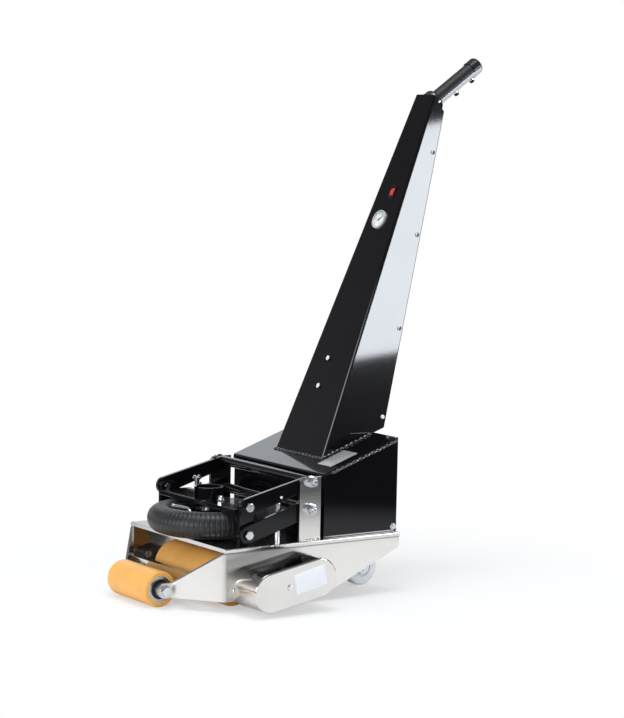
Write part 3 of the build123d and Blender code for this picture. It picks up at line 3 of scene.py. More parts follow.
import bmesh
import bpy
import numpy as np
from bpy.props import FloatProperty, FloatVectorProperty, IntProperty, PointerProperty
from mathutils import Matrix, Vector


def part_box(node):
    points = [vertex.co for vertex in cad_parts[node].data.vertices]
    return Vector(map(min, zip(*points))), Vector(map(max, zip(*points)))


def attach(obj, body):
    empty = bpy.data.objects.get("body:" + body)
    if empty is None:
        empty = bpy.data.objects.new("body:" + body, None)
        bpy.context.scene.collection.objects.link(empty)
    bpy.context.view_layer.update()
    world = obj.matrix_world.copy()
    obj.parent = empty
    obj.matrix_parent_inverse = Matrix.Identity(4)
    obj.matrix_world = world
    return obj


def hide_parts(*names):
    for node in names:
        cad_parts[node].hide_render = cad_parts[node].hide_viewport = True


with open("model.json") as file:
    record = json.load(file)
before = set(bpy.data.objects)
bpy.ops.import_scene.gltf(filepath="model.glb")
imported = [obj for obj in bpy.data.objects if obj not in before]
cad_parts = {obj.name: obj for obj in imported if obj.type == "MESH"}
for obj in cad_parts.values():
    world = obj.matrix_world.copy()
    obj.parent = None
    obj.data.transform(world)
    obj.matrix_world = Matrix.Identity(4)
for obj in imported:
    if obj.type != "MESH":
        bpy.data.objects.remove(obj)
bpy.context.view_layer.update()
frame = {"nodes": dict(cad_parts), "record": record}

bl_info = {
    "name": "Roller Dolly Looks",
    "version": (1, 0, 0),
    "blender": (4, 5, 0),
    "location": "3D View > Sidebar > Dolly",
    "description": "Finishes, tyre, welds, plates and studio for a walk-behind roller dolly",
    "category": "Object",
}

# Places below are millimetres from the deck's front edge, its middle plane and the floor
DECK_LOW, DECK_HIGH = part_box("deck_plate")
DECK_ORIGIN = np.array([DECK_HIGH.x, (DECK_LOW.y + DECK_HIGH.y) / 2, 0.0])
ACROSS = np.array([0.0, 1.0, 0.0])
UP = np.array([0.0, 0.0, 1.0])
FORWARD = np.array([1.0, 0.0, 0.0])
SIDES = (("left", 1.0), ("right", -1.0))

# Level direction in which the column's left face shows the side softbox
SIDE_WAY = np.array([-0.603, 0.798, 0.0])

# The lid rises towards the rear, and the column's front face leans back
LID_RUN = 183.0
LID_RISE = 64.0
LID_FRONT = np.array([-245.0, 0.0, 257.0])
LID_UP = np.array([LID_RISE, 0.0, LID_RUN]) / np.hypot(LID_RISE, LID_RUN)
LID_BACK = np.array([-LID_RUN, 0.0, LID_RISE]) / np.hypot(LID_RISE, LID_RUN)
COLUMN_LEAN = 310.0
COLUMN_RISE = 754.9
COLUMN_FOOT = np.array([-294.0, 0.0, 274.1])
COLUMN_ALONG = np.array([-COLUMN_LEAN, 0.0, COLUMN_RISE]) / np.hypot(COLUMN_LEAN, COLUMN_RISE)
COLUMN_OUT = np.array([COLUMN_RISE, 0.0, COLUMN_LEAN]) / np.hypot(COLUMN_LEAN, COLUMN_RISE)

# Way that the middle of the column's front left bend faces, where a highlight is painted low down
BEND_TURN = np.radians(35.0)
COLUMN_BEND = np.cos(BEND_TURN) * COLUMN_OUT + np.sin(BEND_TURN) * ACROSS

# Way that the chain case's upper wall faces, turned off its round front end and its outer face, where a dark
# reflection is painted
CASE_WALL = (-0.3, -0.25, 1.0)

# The handle stands square on the column's oblique top
HANDLE_FOOT = np.array([-617.8, 0.0, 1009.3])
HANDLE_TILT = np.radians(35.0)
HANDLE_ALONG = np.array([-np.cos(HANDLE_TILT), 0.0, np.sin(HANDLE_TILT)])
HANDLE_DOWN = np.array([-np.sin(HANDLE_TILT), 0.0, -np.cos(HANDLE_TILT)])

# Materials by name, filled when the finishes are made
FINISHES = {}


def place(points):
    """Metres in the row frame from millimetres: a thousandth of the point, shifted to the deck's origin."""
    return np.asarray(points, float) / 1000.0 + DECK_ORIGIN


def box_middle(low, high):
    """Middle of a box given by its corners in metres, in millimetres from the deck's origin."""
    return (np.array(low + high) / 2 - DECK_ORIGIN) * 1000.0


def unit(vector):
    """The vector divided by its length."""
    vector = np.asarray(vector, float)
    return vector / np.linalg.norm(vector, axis=-1, keepdims=True)


def grid_mesh(name, points, closed_rows=False, closed_columns=False, crease=35.0):
    """Mesh piece from a grid of points in millimetres: a quad in each cell, with the last row or column
    joined to the first where that way is closed, poles merged and faces turned outwards."""
    rows, columns = points.shape[:2]
    index = np.arange(rows * columns).reshape(rows, columns)
    if closed_rows:
        index = np.vstack([index, index[:1]])
    if closed_columns:
        index = np.hstack([index, index[:, :1]])
    quads = np.stack([index[:-1, :-1], index[1:, :-1], index[1:, 1:], index[:-1, 1:]], -1).reshape(-1, 4)
    return mesh_piece(name, points.reshape(-1, 3), quads, crease)


def mesh_piece(name, points, faces, crease=35.0):
    """Object at the origin from points in millimetres and their faces, with doubles merged."""
    mesh = bpy.data.meshes.new(name)
    mesh.from_pydata(place(points).tolist(), [], faces.tolist())
    work = bmesh.new()
    work.from_mesh(mesh)
    bmesh.ops.remove_doubles(work, verts=work.verts, dist=1e-6)
    bmesh.ops.dissolve_degenerate(work, edges=work.edges, dist=1e-7)
    bmesh.ops.recalc_face_normals(work, faces=work.faces)
    work.to_mesh(mesh)
    work.free()
    mesh.shade_smooth()
    mesh.set_sharp_from_angle(angle=np.radians(crease))
    piece = bpy.data.objects.new(name, mesh)
    bpy.context.scene.collection.objects.link(piece)
    return piece


def dress(piece, body, finish):
    """Give a new piece its finish by name and the body that it rides on."""
    piece.data.materials.append(FINISHES[finish])
    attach(piece, body)


def turned_piece(radii, heights, centre, axis, first, steps, ripple=None):
    """Surface of revolution: radius and height of each profile point, swept round the axis by an angle.
    ripple, where given, is added to the radius as a grid of profile points by angles."""
    angles = np.linspace(0.0, 2 * np.pi, steps, endpoint=False)
    second = np.cross(axis, first)
    reach = np.asarray(radii, float)[:, None] + (0.0 if ripple is None else ripple)
    reach = np.broadcast_to(reach, (len(radii), steps))
    return (
        np.asarray(centre, float)
        + (reach * np.cos(angles))[..., None] * first
        + (reach * np.sin(angles))[..., None] * second
        + np.asarray(heights, float)[:, None, None] * axis
    )


def hexagon_reach(steps):
    """Distance from a hexagon's centre to its edge by angle, for a distance of one to its flats."""
    angles = np.linspace(0.0, 2 * np.pi, steps, endpoint=False)
    return 1.0 / np.cos((angles + np.pi / 6) % (np.pi / 3) - np.pi / 6)


def rounded_outline(length, width, corner, steps=8):
    """Outline of a rectangle with round corners: a quarter circle about each corner's centre."""
    quarter = np.linspace(0.0, np.pi / 2, steps)
    turns = quarter[None, :] + np.arange(4)[:, None] * np.pi / 2
    signs = np.array([[1, 1], [-1, 1], [-1, -1], [1, -1]])
    centres = signs * np.array([length / 2 - corner, width / 2 - corner])
    outline = centres[:, None, :] + corner * np.stack([np.cos(turns), np.sin(turns)], -1)
    return outline.reshape(-1, 2)


def flat_plate(name, centre, along, across, length, width, thickness, corner):
    """Thin plate: rings from the middle of its foot to its rounded outline, up its edge, in at the rim and to
    the middle of its face."""
    out = np.cross(along, across)
    outline = rounded_outline(length, width, corner)
    drawn_in = outline * (1.0 - 2 * thickness / np.array([length, width]))
    middle = outline * 0.0
    rings = [
        (middle, 0.0), (outline, 0.0), (outline, thickness * 0.6), (drawn_in, thickness), (middle, thickness),
    ]
    points = np.stack([
        np.asarray(centre) + ring[:, :1] * along + ring[:, 1:] * across + height * out
        for ring, height in rings
    ])
    return grid_mesh(name, points, closed_columns=True, crease=25.0)


def tube_frame(line, lift):
    """Two ways square to a line at each of its points: the first to its side, the second towards the lift."""
    tangent = unit(np.gradient(line, axis=0))
    side = unit(np.cross(tangent, lift))
    return side, np.cross(side, tangent)


def tube_points(line, radius, side, rise, steps):
    """Tube round a line: at each of its points a circle of the radius there, in the plane of the two ways."""
    turn = np.linspace(0.0, 2 * np.pi, steps, endpoint=False)
    ring = np.cos(turn)[None, :, None] * side[:, None, :] + np.sin(turn)[None, :, None] * rise[:, None, :]
    return line[:, None, :] + radius[:, None, None] * ring


def weld_bead(name, corners, lift, radius, pitch, sway):
    """Weld along a line of corners: a tube whose radius swells and falls once in each pitch, like a row of
    drops, whose line sways a little from side to side, and whose ends run out to a point."""
    corners = np.asarray(corners, float)
    legs = np.linalg.norm(np.diff(corners, axis=0), axis=1)
    stations = np.concatenate([[0.0], np.cumsum(legs)])
    length = stations[-1]
    rows_per_drop = 10
    along = np.linspace(0.0, length, int(length / pitch * rows_per_drop) + 2)
    drops = along / pitch
    line = np.stack([np.interp(along, stations, corners[:, k]) for k in range(3)], -1)
    side, rise = tube_frame(line, unit(lift))
    wander = np.sin(drops * 0.83) + 0.6 * np.sin(drops * 2.17 + 1.3)
    line = line + side * (sway * wander)[:, None]
    share = (drops + 0.2 * np.sin(drops * 0.61)) % 1.0
    drop = np.sqrt(1.0 - (2.0 * share - 1.0) ** 2)
    swell = radius * (0.6 + 0.42 * drop + 0.07 * np.sin(drops * 1.7))
    ends = np.minimum(along, length - along) / radius
    swell = swell * np.sqrt(np.clip(ends, 0.0, 1.0))
    points = tube_points(line, swell, side, rise, 12)
    return grid_mesh(name, points, closed_columns=True, crease=60.0)


def feed(tree, source, target):
    """Link a socket to another one, or set a fixed number, colour or way on it."""
    if isinstance(source, bpy.types.NodeSocket):
        tree.links.new(source, target)
    else:
        target.default_value = source


def add_node(tree, kind, **values):
    """New shader node with its settings, and links or numbers on its named sockets."""
    node = tree.nodes.new(kind)
    for key, value in values.items():
        if key in node.inputs:
            feed(tree, value, node.inputs[key])
        else:
            setattr(node, key, value)
    return node


def wire(tree, shader, **sockets):
    """Links or numbers on the main shader's sockets, named in small letters."""
    for key, source in sockets.items():
        feed(tree, source, shader.inputs[key.replace("_", " ").title().replace("Ior", "IOR")])


def start_finish(name, **sockets):
    """New material with its main shader, the numbers that are the same all over set on its sockets."""
    finish = bpy.data.materials.new(name)
    finish.use_nodes = True
    shader = finish.node_tree.nodes["Principled BSDF"]
    wire(finish.node_tree, shader, **sockets)
    return finish, finish.node_tree, shader


def stretched_place(tree, stretch=(1.0, 1.0, 1.0)):
    """Object coordinates, stretched for a pattern with a direction."""
    coordinates = add_node(tree, "ShaderNodeTexCoord")
    mapping = add_node(tree, "ShaderNodeMapping", Vector=coordinates.outputs["Object"], Scale=stretch)
    return mapping.outputs["Vector"]


def grain(tree, vector, scale, detail=3.0, roughness=0.55):
    """Noise pattern of a scale, in waves to the metre."""
    noise = add_node(
        tree, "ShaderNodeTexNoise", Vector=vector, Scale=scale, Detail=detail, Roughness=roughness
    )
    return noise.outputs["Fac"]


def ramp(tree, value, stops):
    """Colour by value, through stops of place and colour."""
    node = add_node(tree, "ShaderNodeValToRGB", Fac=value)
    elements = node.color_ramp.elements
    while len(elements) < len(stops):
        elements.new(0.5)
    for element, (where, colour) in zip(elements, stops):
        element.position = where
        element.color = (*colour, 1.0)
    return node.outputs["Color"]


def spread(tree, value, low, high, start=0.3, end=0.7):
    """Number that goes from low to high as the value goes from start to end."""
    node = add_node(tree, "ShaderNodeMapRange", Value=value)
    for key, number in (("From Min", start), ("From Max", end), ("To Min", low), ("To Max", high)):
        node.inputs[key].default_value = number
    return node.outputs["Result"]


def relief(tree, height, depth, under=None):
    """Bump whose full height is the depth in metres, over another normal where one is given."""
    node = add_node(tree, "ShaderNodeBump", Strength=1.0, Distance=depth, Height=height)
    if under is not None:
        tree.links.new(under, node.inputs["Normal"])
    return node.outputs["Normal"]


def soft_edge(tree, radius):
    """Normal that rounds sharp edges by a radius in metres."""
    return add_node(tree, "ShaderNodeBevel", samples=6, Radius=radius).outputs["Normal"]


def dot_product(tree, first, second):
    """Dot product of a vector and another one or a fixed way."""
    node = add_node(tree, "ShaderNodeVectorMath", operation="DOT_PRODUCT")
    feed(tree, first, node.inputs[0])
    feed(tree, second, node.inputs[1])
    return node.outputs["Value"]


def facing_share(tree, way, start, end):
    """How far the surface faces a way: zero to one as its normal's dot product goes from start to end."""
    surface = add_node(tree, "ShaderNodeNewGeometry")
    return spread(tree, dot_product(tree, surface.outputs["Normal"], way), 0.0, 1.0, start, end)


def edge_share(tree, rounded, start=0.02, end=0.22):
    """How near a point is to an edge: the rounded normal's turn away from the surface's own."""
    surface = add_node(tree, "ShaderNodeNewGeometry")
    dot = dot_product(tree, rounded, surface.outputs["Normal"])
    return spread(tree, dot, 1.0, 0.0, 1.0 - end, 1.0 - start)


def height_share(tree, start, end, low=0.0, high=1.0):
    """Number that goes from low to high as the height goes from start to end, in metres."""
    split = add_node(tree, "ShaderNodeSeparateXYZ", Vector=stretched_place(tree))
    return spread(tree, split.outputs["Z"], low, high, start, end)


def combine(tree, operation, first, second):
    """Number made from two others by an operation."""
    node = add_node(tree, "ShaderNodeMath", operation=operation)
    feed(tree, first, node.inputs[0])
    feed(tree, second, node.inputs[1])
    return node.outputs[0]


def blend_colour(tree, share, first, second):
    """Colour that goes from the first to the second by a share."""
    node = add_node(tree, "ShaderNodeMix", data_type="RGBA")
    feed(tree, share, node.inputs[0])
    for source, target in ((first, node.inputs[6]), (second, node.inputs[7])):
        feed(tree, (*source, 1.0) if isinstance(source, tuple) else source, target)
    return node.outputs[2]


def mix_shaders(tree, share, first, second):
    """Shader that goes from the first to the second by a share."""
    node = add_node(tree, "ShaderNodeMixShader")
    for source, target in zip((share, first, second), node.inputs):
        feed(tree, source, target)
    return node.outputs[0]


def shade(colour, factor):
    """The colour made lighter or darker by a factor."""
    return tuple(min(1.0, channel * factor) for channel in colour)


def steel_finish(name, tint, roughness, stretch, wave, blotch=9.0, seam=None, brush=0.00001, wall=None):
    """Bright sheet or bar: brushed lines along one way, faint blotches, wavy rolled sheet and bright edges.
    A seam, given by its lower and upper height, gets a band of painted shadow. A wall, given by the shares of
    the tint that the darkest and lightest streaks of its painted reflection keep, is painted dark where the
    sheet faces up."""
    finish, tree, shader = start_finish(name, metallic=1.0)
    lines = grain(tree, stretched_place(tree, stretch), 1.0, detail=5.0, roughness=0.7)
    cloud = grain(tree, stretched_place(tree), blotch, detail=4.0)
    rolled = grain(tree, stretched_place(tree), 5.0, detail=1.0)
    base = ramp(tree, cloud, [(0.25, shade(tint, 0.93)), (0.5, tint), (0.75, shade(tint, 1.04))])
    rounded = soft_edge(tree, 0.0008)
    colour = blend_colour(tree, edge_share(tree, rounded), base, shade(tint, 1.18))
    # Painted reflection: dark streaks where the sheet faces up, with a dimmer specular tint
    if wall is not None:
        reflection_streaks = grain(tree, stretched_place(tree, (8.0, 64.0, 8.0)), 1.0, detail=4.0)
        darkest, lightest = wall
        stops = [
            (0.38, shade(tint, darkest)), (0.52, shade(tint, darkest * 1.7)), (0.68, shade(tint, lightest)),
        ]
        share = facing_share(tree, CASE_WALL, 0.2, 0.9)
        colour = blend_colour(tree, share, colour, ramp(tree, reflection_streaks, stops))
        wire(tree, shader, specular_tint=blend_colour(tree, share, (1.0, 1.0, 1.0), (0.55, 0.55, 0.55)))
    # Painted shadow: a dark band by height, in place of the shade under the deck's overhanging edge
    if seam is not None:
        painted_shadow = height_share(tree, *seam, high=0.85)
        colour = blend_colour(tree, painted_shadow, colour, shade(tint, 0.22))
    gloss = spread(tree, lines, roughness * 0.85, roughness * 1.2)
    waved = relief(tree, rolled, wave, under=rounded)
    wire(tree, shader, base_color=colour, roughness=gloss, normal=relief(tree, lines, brush, under=waved))
    return finish


def paint_finish(name, tint, roughness, peel, coat, shine=0.02, coat_ior=1.4, bend=None):
    """Gloss paint: fine orange peel in the clear top, faint dust in broad clouds and thin paint at edges,
    and a painted highlight in grey low on a bend, where the way that the bend faces is given."""
    finish, tree, shader = start_finish(
        name, coat_weight=coat, coat_roughness=0.04, coat_ior=coat_ior, specular_ior_level=shine
    )
    cloud = grain(tree, stretched_place(tree), 6.0, detail=6.0)
    fine = grain(tree, stretched_place(tree), 420.0, detail=2.0)
    base = ramp(tree, cloud, [(0.35, shade(tint, 0.8)), (0.62, tint), (0.85, shade(tint, 1.6))])
    rounded = soft_edge(tree, 0.0024)
    colour = blend_colour(tree, edge_share(tree, rounded, 0.05, 0.35), base, shade(tint, 3.2))
    if bend is not None:
        # Painted highlight: a bluish grey line low on the bend, in place of the light that the bend catches
        low_down = height_share(tree, 0.40, 0.66, 1.0, 0.0)
        wear_and_highlight = combine(tree, "MULTIPLY", facing_share(tree, bend, 0.955, 0.985), low_down)
        colour = blend_colour(tree, wear_and_highlight, colour, (0.21, 0.215, 0.235))
    gloss = spread(tree, cloud, roughness * 0.8, roughness * 1.5)
    wire(tree, shader, base_color=colour, roughness=gloss, normal=relief(tree, fine, peel, under=rounded))
    wire(tree, shader, coat_normal=relief(tree, fine, peel * 0.6, under=rounded))
    return finish


def plastic_finish(
    name, tint, roughness, scale, depth, subsurface=0.0, span=0.12, metallic=0.0, edge=0.0005
):
    """Moulded plastic or silver lacquer: fine grain in its gloss and relief, and a slow change of colour by a
    span. Its edges are rounded by a radius in metres, or left as they are at zero."""
    finish, tree, shader = start_finish(
        name, subsurface_weight=subsurface, subsurface_radius=(1.0, 0.45, 0.12), subsurface_scale=0.004,
        metallic=metallic,
    )
    cloud = grain(tree, stretched_place(tree), 22.0, detail=4.0)
    fine = grain(tree, stretched_place(tree), scale, detail=3.0)
    stops = [(0.3, shade(tint, 1.0 - span)), (0.5, tint), (0.72, shade(tint, 1.0 + span * 0.6))]
    gloss = spread(tree, fine, roughness * 0.85, roughness * 1.2)
    rounded = soft_edge(tree, edge) if edge > 0.0 else None
    grained = relief(tree, fine, depth, under=rounded)
    wire(tree, shader, base_color=ramp(tree, cloud, stops), roughness=gloss, normal=grained)
    return finish


def urethane_finish(tint):
    """Cast polyurethane: amber that light enters, fine turned rings across the roller and faint scuffs."""
    finish, tree, shader = start_finish(
        "roller_urethane", subsurface_weight=0.3, subsurface_radius=(1.0, 0.4, 0.08), subsurface_scale=0.006
    )
    rings = grain(tree, stretched_place(tree, (14.0, 900.0, 14.0)), 1.0, detail=4.0)
    cloud = grain(tree, stretched_place(tree), 14.0, detail=5.0)
    scuff = grain(tree, stretched_place(tree, (60.0, 10.0, 60.0)), 1.0, detail=6.0, roughness=0.7)
    base = ramp(tree, cloud, [(0.25, shade(tint, 0.86)), (0.55, tint), (0.8, shade(tint, 1.08))])
    wear_and_highlight = spread(tree, scuff, 0.0, 0.35, 0.62, 0.78)
    colour = blend_colour(tree, wear_and_highlight, base, (0.46, 0.20, 0.045))
    turned = relief(tree, rings, 0.00005, under=soft_edge(tree, 0.001))
    wire(tree, shader, base_color=colour, roughness=spread(tree, rings, 0.34, 0.5), normal=turned)
    return finish


def rubber_finish(tint):
    """Tyre rubber: near black with a dusty bloom in clouds, half dull, with a fine moulded grain."""
    finish, tree, shader = start_finish(
        "tyre_rubber", specular_ior_level=0.5, sheen_weight=0.1, sheen_roughness=0.35
    )
    cloud = grain(tree, stretched_place(tree), 26.0, detail=6.0)
    fine = grain(tree, stretched_place(tree), 700.0, detail=3.0)
    stops = [(0.3, shade(tint, 0.7)), (0.55, tint), (0.8, shade(tint, 1.7))]
    gloss = spread(tree, cloud, 0.32, 0.46)
    grained = relief(tree, fine, 0.00006)
    wire(tree, shader, base_color=ramp(tree, cloud, stops), roughness=gloss, normal=grained)
    return finish


def screw_finish(tint):
    """Screws of the column: pale where they face forwards and at the foot, and painted dark higher up its
    sides, as a painted dark reflection.
    """
    finish, tree, shader = start_finish("screw_zinc")
    cloud = grain(tree, stretched_place(tree), 60.0, detail=4.0)
    pale = ramp(tree, cloud, [(0.3, shade(tint, 0.92)), (0.7, tint)])
    forwards = facing_share(tree, COLUMN_OUT, 0.2, 0.5)
    share = combine(tree, "MAXIMUM", forwards, height_share(tree, 0.36, 0.40, 1.0, 0.0))
    # Painted reflection: the screws higher up the column's sides get a near black colour
    colour = blend_colour(tree, share, shade(tint, 0.04), pale)
    wire(tree, shader, base_color=colour, roughness=spread(tree, cloud, 0.34, 0.46))
    return finish


def lens_finish():
    """Clear gauge lens: glass with a very faint haze in its gloss."""
    finish, tree, shader = start_finish("clear_lens", transmission_weight=1.0, ior=1.46)
    haze = grain(tree, stretched_place(tree), 90.0, detail=4.0)
    stops = [(0.3, (0.97, 0.98, 0.98)), (0.7, (0.93, 0.95, 0.95))]
    wire(tree, shader, base_color=ramp(tree, haze, stops), roughness=spread(tree, haze, 0.01, 0.06))
    return finish


class DollyFinishSettings(bpy.types.PropertyGroup):
    """Colours of the dolly's finishes."""

    steel: FloatVectorProperty(
        name="Bright steel", description="Colour of the sheet steel chassis, chain case and brackets",
        subtype="COLOR", min=0.0, max=1.0, default=(0.73, 0.708, 0.67),
    )
    zinc: FloatVectorProperty(
        name="Zinc", description="Colour of the zinc-plated bolts, nuts and castor forks",
        subtype="COLOR", min=0.0, max=1.0, default=(0.58, 0.595, 0.61),
    )
    paint: FloatVectorProperty(
        name="Black paint", description="Colour of the painted box, column and linkage",
        subtype="COLOR", min=0.0, max=1.0, default=(0.004, 0.004, 0.005),
    )
    urethane: FloatVectorProperty(
        name="Roller urethane", description="Colour of the polyurethane on both rollers",
        subtype="COLOR", min=0.0, max=1.0, default=(0.91, 0.475, 0.115),
    )
    rubber: FloatVectorProperty(
        name="Tyre rubber", description="Colour of the flat wheel's tyre",
        subtype="COLOR", min=0.0, max=1.0, default=(0.020, 0.020, 0.021),
    )
    castor: FloatVectorProperty(
        name="Castor grey", description="Colour of the castor wheels",
        subtype="COLOR", min=0.0, max=1.0, default=(0.78, 0.81, 0.83),
    )
    rocker: FloatVectorProperty(
        name="Switch red", description="Colour of the rocker switch",
        subtype="COLOR", min=0.0, max=1.0, default=(0.62, 0.045, 0.03),
    )
    label: FloatVectorProperty(
        name="Blank plate", description="Colour of the blank plate on the chain case",
        subtype="COLOR", min=0.0, max=1.0, default=(0.80, 0.81, 0.84),
    )


class DollyDetailSettings(bpy.types.PropertyGroup):
    """Sizes of the pieces that are added to the dolly."""

    rib_count: IntProperty(
        name="Tyre ribs", description="Number of cross grooves round the tyre",
        subtype="UNSIGNED", min=12, max=160, default=72,
    )
    rib_depth: FloatProperty(
        name="Groove depth", description="Depth of the tyre's cross grooves",
        subtype="DISTANCE", unit="LENGTH", min=0.0, max=0.003, default=0.0012,
    )
    weld_radius: FloatProperty(
        name="Weld radius", description="Radius of the weld at the column's foot",
        subtype="DISTANCE", unit="LENGTH", min=0.001, max=0.006, default=0.0042,
    )
    weld_pitch: FloatProperty(
        name="Weld pitch", description="Length of one ripple of a weld",
        subtype="DISTANCE", unit="LENGTH", min=0.002, max=0.02, default=0.0120,
    )
    plate_corner: FloatProperty(
        name="Plate corner", description="Corner radius of the blank plates",
        subtype="DISTANCE", unit="LENGTH", min=0.0005, max=0.01, default=0.0018,
    )


class DollyStageSettings(bpy.types.PropertyGroup):
    """Camera and light of the studio."""

    eye: FloatVectorProperty(
        name="Camera place", description="Camera's place from the deck's front edge and middle plane",
        subtype="TRANSLATION", unit="LENGTH", default=(2.3469, 3.8333, 0.9290),
    )
    turn: FloatProperty(
        name="Camera turn", description="Camera's way round from the left side towards the front",
        subtype="ANGLE", unit="ROTATION", default=float(np.radians(34.87)),
    )
    pitch: FloatProperty(
        name="Camera pitch", description="How far the camera looks down",
        subtype="ANGLE", unit="ROTATION", default=float(np.radians(5.59)),
    )
    roll: FloatProperty(
        name="Camera roll", description="How far the camera is tipped about its view",
        subtype="ANGLE", unit="ROTATION", default=float(np.radians(1.21)),
    )
    lens: FloatProperty(
        name="Lens", description="Focal length on a 36 mm wide frame", subtype="DISTANCE_CAMERA",
        min=10.0, max=400.0, default=129.6,
    )
    side_power: FloatProperty(
        name="Side softbox", description="Power of the softbox at the right of the camera", subtype="POWER",
        unit="POWER", min=0.0, default=69.0,
    )
    back_power: FloatProperty(
        name="Back softbox", description="Power of the softbox behind and above", subtype="POWER",
        unit="POWER", min=0.0, default=15.0,
    )
    front_power: FloatProperty(
        name="Front softbox", description="Power of the low softbox in front of the rollers", subtype="POWER",
        unit="POWER", min=0.0, default=22.0,
    )
    top_power: FloatProperty(
        name="Overhead softbox", description="Power of the large softbox overhead", subtype="POWER",
        unit="POWER", min=0.0, default=36.0,
    )


class DOLLY_OT_finishes(bpy.types.Operator):
    """Make every finish and put it on the nodes of its slot, or on the nodes that have one of their own"""

    bl_idname = "dolly.finishes"
    bl_label = "Finishes"

    def execute(self, context):
        chosen = context.scene.dolly_finishes
        steel = tuple(chosen.steel)
        zinc = tuple(chosen.zinc)
        paint = tuple(chosen.paint)
        steels = dict(
            bright_steel=dict(tint=steel, roughness=0.14, stretch=(9.0, 500.0, 500.0), wave=0.0003),
            side_steel=dict(
                tint=shade(steel, 1.04), roughness=0.34, stretch=(9.0, 400.0, 400.0), wave=0.0003,
                # The seam is a band of painted shadow just under the deck's edge
                brush=0.000003, seam=(DECK_LOW.z - 0.004, DECK_LOW.z - 0.001),
            ),
            case_steel=dict(
                tint=shade(steel, 1.04), roughness=0.13, stretch=(9.0, 400.0, 400.0), wave=0.0001,
                # The case's upper wall gets a painted dark reflection in streaks
                brush=0.000003, wall=(0.08, 0.5),
            ),
            zinc_steel=dict(
                tint=shade(zinc, 1.25), roughness=0.18, stretch=(240.0, 240.0, 240.0), wave=0.0, blotch=60.0,
            ),
            machined_steel=dict(
                tint=shade(zinc, 0.92), roughness=0.22, stretch=(40.0, 900.0, 40.0), wave=0.0,
            ),
            dark_iron=dict(
                tint=(0.16, 0.155, 0.15), roughness=0.42, stretch=(120.0, 120.0, 120.0), wave=0.0005,
            ),
            controller_aluminium=dict(
                tint=(0.66, 0.67, 0.68), roughness=0.38, stretch=(500.0, 20.0, 500.0), wave=0.0003,
            ),
            rim_gloss=dict(tint=(0.20, 0.205, 0.215), roughness=0.2, stretch=(60.0, 60.0, 60.0), wave=0.0),
        )
        paints = dict(
            black_paint=dict(roughness=0.2, peel=0.00001, coat=0.9),
            # The column's front left bend gets a painted highlight
            column_paint=dict(roughness=0.2, peel=0.00001, coat=0.9, bend=COLUMN_BEND),
            weld_paint=dict(roughness=0.16, peel=0.00002, coat=1.0, shine=0.7, coat_ior=1.6),
        )
        plastics = dict(
            seal_rubber=dict(tint=(0.010, 0.010, 0.011), roughness=0.4, scale=700.0, depth=0.00002),
            castor_grey=dict(
                tint=tuple(chosen.castor), roughness=0.42, scale=380.0, depth=0.00006, subsurface=0.1,
            ),
            black_plastic=dict(
                tint=(0.014, 0.014, 0.015), roughness=0.26, scale=300.0, depth=0.000002, edge=0.0,
            ),
            satin_black=dict(
                tint=(0.012, 0.012, 0.013), roughness=0.45, scale=300.0, depth=0.000002, edge=0.0,
            ),
            gauge_rim=dict(
                tint=(0.56, 0.56, 0.55), roughness=0.35, scale=300.0, depth=0.000002, span=0.05,
                metallic=0.35,
            ),
            gauge_white=dict(tint=(0.80, 0.80, 0.775), roughness=0.5, scale=1200.0, depth=0.00002, span=0.05),
            needle_black=dict(tint=(0.012, 0.012, 0.012), roughness=0.4, scale=1400.0, depth=0.00001),
            switch_red=dict(
                tint=tuple(chosen.rocker), roughness=0.28, scale=600.0, depth=0.00003, subsurface=0.25,
            ),
            blank_label=dict(
                tint=tuple(chosen.label), roughness=0.34, scale=1500.0, depth=0.00001, span=0.03,
            ),
            bare_plate=dict(tint=(0.42, 0.43, 0.43), roughness=0.3, scale=500.0, depth=0.00004, metallic=0.3),
            silver_strip=dict(
                tint=(0.88, 0.89, 0.93), roughness=0.4, scale=300.0, depth=0.000001, span=0.04, edge=0.0,
            ),
        )
        FINISHES.update(
            {name: steel_finish(name, **look) for name, look in steels.items()},
            roller_urethane=urethane_finish(tuple(chosen.urethane)),
            tyre_rubber=rubber_finish(tuple(chosen.rubber)),
            screw_zinc=screw_finish((0.88, 0.89, 0.92)),
            clear_lens=lens_finish(),
        )
        FINISHES.update({name: paint_finish(name, paint, **look) for name, look in paints.items()})
        FINISHES.update({name: plastic_finish(name, **look) for name, look in plastics.items()})
        for row in frame["record"]["subparts"]:
            slots = frame["nodes"][row["node"]].data.materials
            slots.clear()
            slots.append(FINISHES[row["material_slot"]])
        own_finishes = dict(
            side_plate_left="side_steel", chain_case="case_steel", drive_roller_core="roller_urethane",
            wheel_rim="rim_gloss", column_shell="column_paint", column_screws="screw_zinc",
            handle_socket="weld_paint", handle_tube="satin_black",
        )
        for node, finish in own_finishes.items():
            frame["nodes"][node].data.materials[0] = FINISHES[finish]
        frame["nodes"]["gauge_lens"].visible_shadow = False
        return {"FINISHED"}


